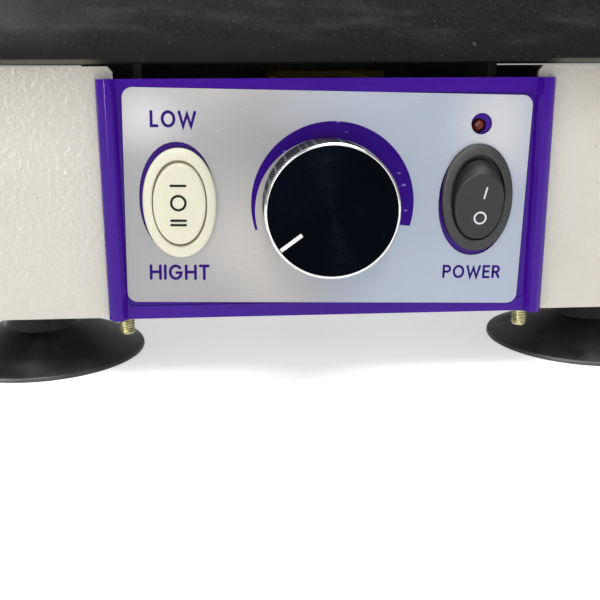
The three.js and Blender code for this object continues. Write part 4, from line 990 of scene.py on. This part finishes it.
brass_place = start_finish("blade_brass")
brass_haze = brass_place.cloud(0.002, 3.0)
brass = coat(
    brass_place,
    {
        "Base Color": brass_haze.tint(rgb(176, 150, 92), rgb(212, 190, 132)),
        "Metallic": 1.0,
        "Roughness": 0.3 + 0.2 * brass_haze,
    },
    brass_haze,
    depth=0.00001,
)
ivory_place = start_finish("ivory_plastic")
ivory_yellowing = ivory_place.cloud(0.012, 3.0)
ivory_dirt = ivory_place.specks(0.0017, 0.25)
ivory_face = (0.5 * ivory_yellowing + 0.25 * ivory_dirt).tint(rgb(228, 226, 206), rgb(212, 207, 178))
# Painted shade: the ivory turns a brown grey deeper in the well, behind the film's face.
ivory_well_shade = ivory_place.axis("Y").rises(label_low.y - 0.0008, label_low.y + 0.0006)
ivory_plastic = coat(
    ivory_place,
    {
        "Base Color": ivory_well_shade.tint(ivory_face, rgb(132, 122, 92)),
        "Roughness": 0.34 + 0.12 * ivory_yellowing,
        "Specular IOR Level": 0.3,
        "Subsurface Weight": 0.06,
        "Subsurface Scale": 0.001,
    },
    ivory_place.cloud(0.0009),
    depth=0.00002,
)
black_place = start_finish("black_switch_plastic")
spark_grain = black_place.cloud(0.0005, 2.0)
black_rub = black_place.cloud(0.009, 4.0).rises(0.45, 0.75)
black_face = (0.5 * spark_grain + 0.3 * black_rub).tint(rgb(38, 40, 40), rgb(72, 74, 73))
# The black plastic is darker on the parts standing furthest forward, such as the rocker's face.
darker_forward = 1 - black_place.axis("Y").rises(label_low.y - 0.0024, label_low.y - 0.0019)
# Painted shade: the black plastic goes near black deeper in the well, behind the film's face.
black_well_shade = black_place.axis("Y").rises(label_low.y - 0.0012, label_low.y + 0.0004)
black_plastic = coat(
    black_place,
    {
        "Base Color": black_well_shade.tint((0.7 * darker_forward).tint(black_face, rgb(20, 22, 22)), rgb(4, 4, 4)),
        "Roughness": 0.44 + 0.1 * spark_grain,
        "Specular IOR Level": 0.36,
    },
    spark_grain,
    depth=0.00005,
)
switch("speed", -43.7, 53.3, blade_rows=3, plastic=ivory_plastic)
switch("power", 44.1, 53.65, blade_rows=2, plastic=black_plastic)
lay_on_ivory = rocker(
    "speed", -43.7, 53.3, half_width=7.58, pivot=1.6, crown=4.3, dish=0.5, tilt=0, twist=1.3,
    more_below=0.4, more_above=0.1, plastic=ivory_plastic,
)
lay_on_black = rocker(
    "power", 44.15, 53.65, half_width=7.35, pivot=2.5, crown=7.2, dish=1.1, tilt=10, twist=0,
    more_below=1.3, more_above=-0.5, plastic=black_plastic,
)

black_ink_place = start_finish("black_ink")
black_ink_mottle = black_ink_place.cloud(0.0006, 2.0)
black_ink = coat(
    black_ink_place,
    {
        "Base Color": black_ink_mottle.tint(rgb(14, 14, 14), rgb(38, 38, 36)),
        "Roughness": 0.5 + 0.1 * black_ink_mottle,
        "Specular IOR Level": 0.1,
    },
)
white_ink_place = start_finish("white_ink")
white_ink_mottle = white_ink_place.cloud(0.0006, 2.0)
white_ink = coat(
    white_ink_place,
    {
        "Base Color": white_ink_mottle.tint(rgb(226, 228, 232), rgb(200, 202, 206)),
        "Roughness": 0.5 + 0.1 * white_ink_mottle,
    },
)
MARKS_X = -0.3
BAR_HALF = 2.08
bars = [[(MARKS_X - BAR_HALF, z), (MARKS_X + BAR_HALF, z)] for z in (5.3, -4.8, -6.1)]
zero = [(MARKS_X, 0.3, 2.05, 2.05)]
print_on("print_speed_marks", bars, zero, 0.7, lay_on_ivory, black_ink, "speed_rocker")
bars = [[(1.7, 4.7), (1.2, 1.5)]]
zero = [(0.5, -4.6, 1.7, 1.7)]
print_on("print_power_marks", bars, zero, 0.52, lay_on_black, white_ink, "power_rocker")

# ---- The intensity knob ----
# A turned aluminium knob, anodised black, with a spun face, a bright diamond-cut edge and a pointer groove
# filled with white. It is clamped by a grub screw to the potentiometer's shaft behind the panel.

pot_place = start_finish("pot_can")
pot_press = pot_place.cloud(0.004, 3.0)
pot_can = coat(
    pot_place,
    {
        "Base Color": pot_press.tint(rgb(140, 142, 144), rgb(182, 184, 186)),
        "Metallic": 1.0,
        "Roughness": 0.34 + 0.16 * pot_press,
    },
    pot_press,
    depth=0.00002,
)
dress("potentiometer", pot_can)
dress("potentiometer_nut", bright_steel, rounding=0.00015)
dress("potentiometer_shaft", bright_steel)
dress("knob_grub_screw", bright_steel)

knob_low, knob_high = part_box("intensity_knob")
knob_centre = Vector((middle("intensity_knob").x, 0, middle("intensity_knob").z))
KNOB_RADIUS = (knob_high.x - knob_low.x) * 500
FRONT = knob_low.y * 1000
REAR = knob_high.y * 1000
EDGE_CUT = 0.55
FACE_SINK = 0.1
GROOVE_WIDTH = 0.000006
KNOB_BORE, KNOB_WELL, WELL_LENGTH = 3.3, 9.0, 5.0
KNOB_STEPS = 144
POINTER_TURN = math.radians(216)
POINTER_SINK = 0.07

spun_place = start_finish("spun_black_anodising")
from_centre = spun_place.moved(*knob_centre).stretched(1, 0, 1)
spun_radius = from_centre.node("VectorMath", {"operation": "LENGTH"}, {0: from_centre}, "Value")
groove = spun_radius.maths("FLOOR", spun_radius / GROOVE_WIDTH)
lathe_step = spun_radius.node("TexWhiteNoise", {"noise_dimensions": "1D"}, {"W": groove}, "Value")
off_true = lathe_step - 0.5
groove_tilt = off_true * off_true.maths("ABSOLUTE", off_true) * 1.6
outward = from_centre.node("VectorMath", {"operation": "NORMALIZE"}, {0: from_centre})
into_world = {"vector_type": "NORMAL", "convert_from": "OBJECT", "convert_to": "WORLD"}
outward = outward.node("VectorTransform", into_world, {0: outward})
plain_normal = spun_place.node("NewGeometry", {}, {}, "Normal")
spun_lean = outward.node("VectorMath", {"operation": "SCALE"}, {0: outward, "Scale": groove_tilt})
spun_normal = spun_lean.node("VectorMath", {"operation": "ADD"}, {0: spun_lean, 1: plain_normal})
spun_normal = spun_normal.node("VectorMath", {"operation": "NORMALIZE"}, {0: spun_normal})
spun_dust = spun_place.specks(0.0012, 0.28)
spun_black = coat(
    spun_place,
    {
        "Base Color": (0.5 * spun_dust).tint(rgb(6, 8, 14), rgb(74, 76, 86)),
        "Metallic": 1 - 0.5 * spun_dust,
        "Roughness": 0.26 + 0.1 * lathe_step,
        "Normal": spun_normal,
    },
)
cut_place = start_finish("diamond_cut_edge")
cut_lines = cut_place.cloud(0.0015, 2.0)
diamond_cut = coat(
    cut_place,
    {
        "Base Color": cut_lines.tint(rgb(184, 184, 184), rgb(246, 246, 244)),
        "Metallic": 1.0,
        "Roughness": 0.12 + 0.12 * cut_lines,
    },
)
wall_place = start_finish("knob_wall")
wall_lines = (wall_place.axis("Y") / 0.0004).wave()
wall_across = wall_place.moved(*knob_centre)
wall_turn = wall_across.maths("ARCTAN2", wall_across.axis("X"), wall_across.axis("Z"))
wall_rub = wall_turn.node("CombineXYZ", {}, {0: wall_turn}).cloud(0.1, 4.0).rises(0.52, 0.62)
knob_wall = coat(
    wall_place,
    {
        "Base Color": (0.7 * wall_rub + 0.05 * wall_lines).tint(rgb(7, 7, 9), rgb(140, 142, 146)),
        "Metallic": wall_rub,
        "Roughness": 0.55 - 0.3 * wall_rub + 0.1 * wall_lines,
        "Specular IOR Level": 0.1,
    },
    wall_lines,
    depth=0.000008,
)
wall_profile = [
    (KNOB_BORE, FRONT + 3.7), (KNOB_BORE, REAR - WELL_LENGTH),
    (KNOB_WELL, REAR - WELL_LENGTH), (KNOB_WELL, REAR), (KNOB_RADIUS - 0.5, REAR),
    (KNOB_RADIUS - 0.1, REAR - 0.15), (KNOB_RADIUS, REAR - 0.5), (KNOB_RADIUS, FRONT + EDGE_CUT),
]
barrel = build("knob_barrel", skin(turned(wall_profile, knob_centre, "Y", KNOB_STEPS)), knob_wall)
edge_profile = [
    (KNOB_RADIUS, FRONT + EDGE_CUT), (KNOB_RADIUS - 0.04, FRONT + EDGE_CUT - 0.08),
    (KNOB_RADIUS - EDGE_CUT + 0.08, FRONT + 0.04), (KNOB_RADIUS - EDGE_CUT, FRONT),
    (KNOB_RADIUS - EDGE_CUT - 0.2, FRONT), (KNOB_RADIUS - EDGE_CUT - 0.28, FRONT + 0.12),
    (KNOB_RADIUS - 3, FRONT + 0.4),
]
edge_turned = skin(turned(edge_profile, knob_centre, "Y", KNOB_STEPS))
edge_ring = build("knob_bright_edge", edge_turned, diamond_cut, 20)
face_profile = [(radius, FRONT + FACE_SINK) for radius in (0, 6, 12, KNOB_RADIUS - EDGE_CUT - 0.26)]
face_profile += [(KNOB_RADIUS - 2, FRONT + 1.5)]
spun_face = build("knob_spun_face", skin(turned(face_profile, knob_centre, "Y", KNOB_STEPS)), spun_black)


def on_knob(x, z):
    """A spot just in front of the knob's face, with x along the pointer."""
    across = x * math.cos(POINTER_TURN) - z * math.sin(POINTER_TURN)
    over = x * math.sin(POINTER_TURN) + z * math.cos(POINTER_TURN)
    return knob_centre + Vector((across, FRONT + POINTER_SINK, over)) / 1000


pointer_place = start_finish("pointer_paint")
pointer_wear = pointer_place.cloud(0.0012, 3.0)
pointer_paint = coat(
    pointer_place,
    {
        "Base Color": pointer_wear.tint(rgb(246, 246, 244), rgb(206, 206, 204)),
        "Roughness": 0.4 + 0.2 * pointer_wear,
    },
    pointer_wear,
    depth=0.00003,
)
pointer_shape = bmesh.new()
pointer_outline = [(10.6, -0.5), (10.9, -0.56), (17.95, -0.56), (17.95, 0.56), (10.9, 0.56), (10.6, 0.5)]
pointer_shape.faces.new([pointer_shape.verts.new(on_knob(x, z)) for x, z in pointer_outline])
pointer = build("knob_pointer", pointer_shape, pointer_paint)
for piece, slot in (
    (barrel, "bright_steel"),
    (edge_ring, "bright_steel"),
    (spun_face, "black_anodised"),
    (pointer, "ivory_plastic"),
):
    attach(piece, "knob")
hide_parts("intensity_knob")

# ---- The power lamp ----
# A small red light-emitting diode, pushed through the panel from behind, unlit in its purple hole.

lens_place = start_finish("red_lens")
lens_glow = lens_place.moved(*middle("power_lamp")).cloud(0.0016, 2.0)
red_lens = coat(
    lens_place,
    {
        "Base Color": lens_glow.rises(0.4, 0.7).tint(rgb(62, 9, 8), rgb(126, 40, 26)),
        "Roughness": 0.16 + 0.08 * lens_glow,
        "Specular IOR Level": 0.3,
    },
)
dress("power_lamp", red_lens, crease=50)

# ---- The drive board ----
# A small green circuit board on four standoffs, with a finned cooler, a film capacitor and a terminal block.

board_place = start_finish("green_board")
track_rows = (board_place.axis("Y") / 0.0026).wave().rises(0.62, 0.7)
track_runs = board_place.stretched(0.4, 1, 1).cloud(0.008, 0.0).rises(0.48, 0.5)
tracks = track_rows * track_runs
solder_mask = board_place.cloud(0.004, 3.0)
green_board = coat(
    board_place,
    {
        "Base Color": (0.8 * tracks + 0.2 * solder_mask).tint(rgb(20, 78, 46), rgb(58, 128, 78)),
        "Roughness": 0.3 + 0.2 * solder_mask,
    },
    tracks,
    depth=0.00004,
)
fin_place = start_finish("cooler_aluminium")
fin_brush = fin_place.stretched(1, 1, 14).cloud(0.02, 4.0)
cooler = coat(
    fin_place,
    {
        "Base Color": fin_brush.tint(rgb(150, 152, 154), rgb(192, 194, 196)),
        "Metallic": 1.0,
        "Roughness": 0.32 + 0.2 * fin_brush,
    },
    fin_brush,
    depth=0.00003,
)
capacitor_place = start_finish("capacitor_case")
capacitor_cloud = capacitor_place.cloud(0.005, 3.0)
capacitor_case = coat(
    capacitor_place,
    {
        "Base Color": capacitor_cloud.tint(rgb(38, 84, 158), rgb(62, 108, 182)),
        "Roughness": 0.3 + 0.15 * capacitor_cloud,
    },
    capacitor_cloud,
    depth=0.00006,
)
terminal_place = start_finish("terminal_nylon")
terminal_haze = terminal_place.cloud(0.003, 3.0)
terminal_nylon = coat(
    terminal_place,
    {
        "Base Color": terminal_haze.tint(rgb(34, 106, 62), rgb(58, 132, 84)),
        "Roughness": 0.42 + 0.15 * terminal_haze,
    },
    terminal_haze,
    depth=0.00003,
)
dress("circuit_board", green_board)
for number in (1, 2, 3, 4):
    dress(f"board_standoff_{number}", brass)
dress("heat_sink", cooler, rounding=0.0002)
dress("capacitor", capacitor_case, rounding=0.0008)
dress("terminal_block", terminal_nylon, rounding=0.0003)

# ---- The mains inlet ----
# A black appliance inlet screwed into the back wall, with a drawer below its socket that holds a glass fuse.

inlet_place = start_finish("inlet_plastic")
inlet_grain = inlet_place.cloud(0.0006, 2.0)
inlet_rub = inlet_place.cloud(0.01, 4.0).rises(0.5, 0.8)
inlet_plastic = coat(
    inlet_place,
    {
        "Base Color": (0.4 * inlet_grain + 0.3 * inlet_rub).tint(rgb(26, 27, 28), rgb(58, 59, 60)),
        "Roughness": 0.38 + 0.16 * inlet_grain,
    },
    inlet_grain,
    depth=0.00004,
)
glass_place = start_finish("fuse_glass")
cap_ends = glass_place.moved(*middle("fuse")).axis("X")
cap_mask = (cap_ends * cap_ends).rises(0.0000455, 0.0000465)
glass_haze = glass_place.cloud(0.002, 2.0)
fuse_glass = coat(
    glass_place,
    {
        "Base Color": cap_mask.tint(rgb(206, 214, 212), rgb(198, 192, 176)),
        "Metallic": cap_mask,
        "Roughness": 0.1 + 0.18 * cap_mask + 0.05 * glass_haze,
    },
    cap_mask,
    depth=0.00005,
)
dress("mains_inlet", inlet_plastic, rounding=0.0003)
dress("fuse_drawer", inlet_plastic, rounding=0.00025)
dress("fuse", fuse_glass)
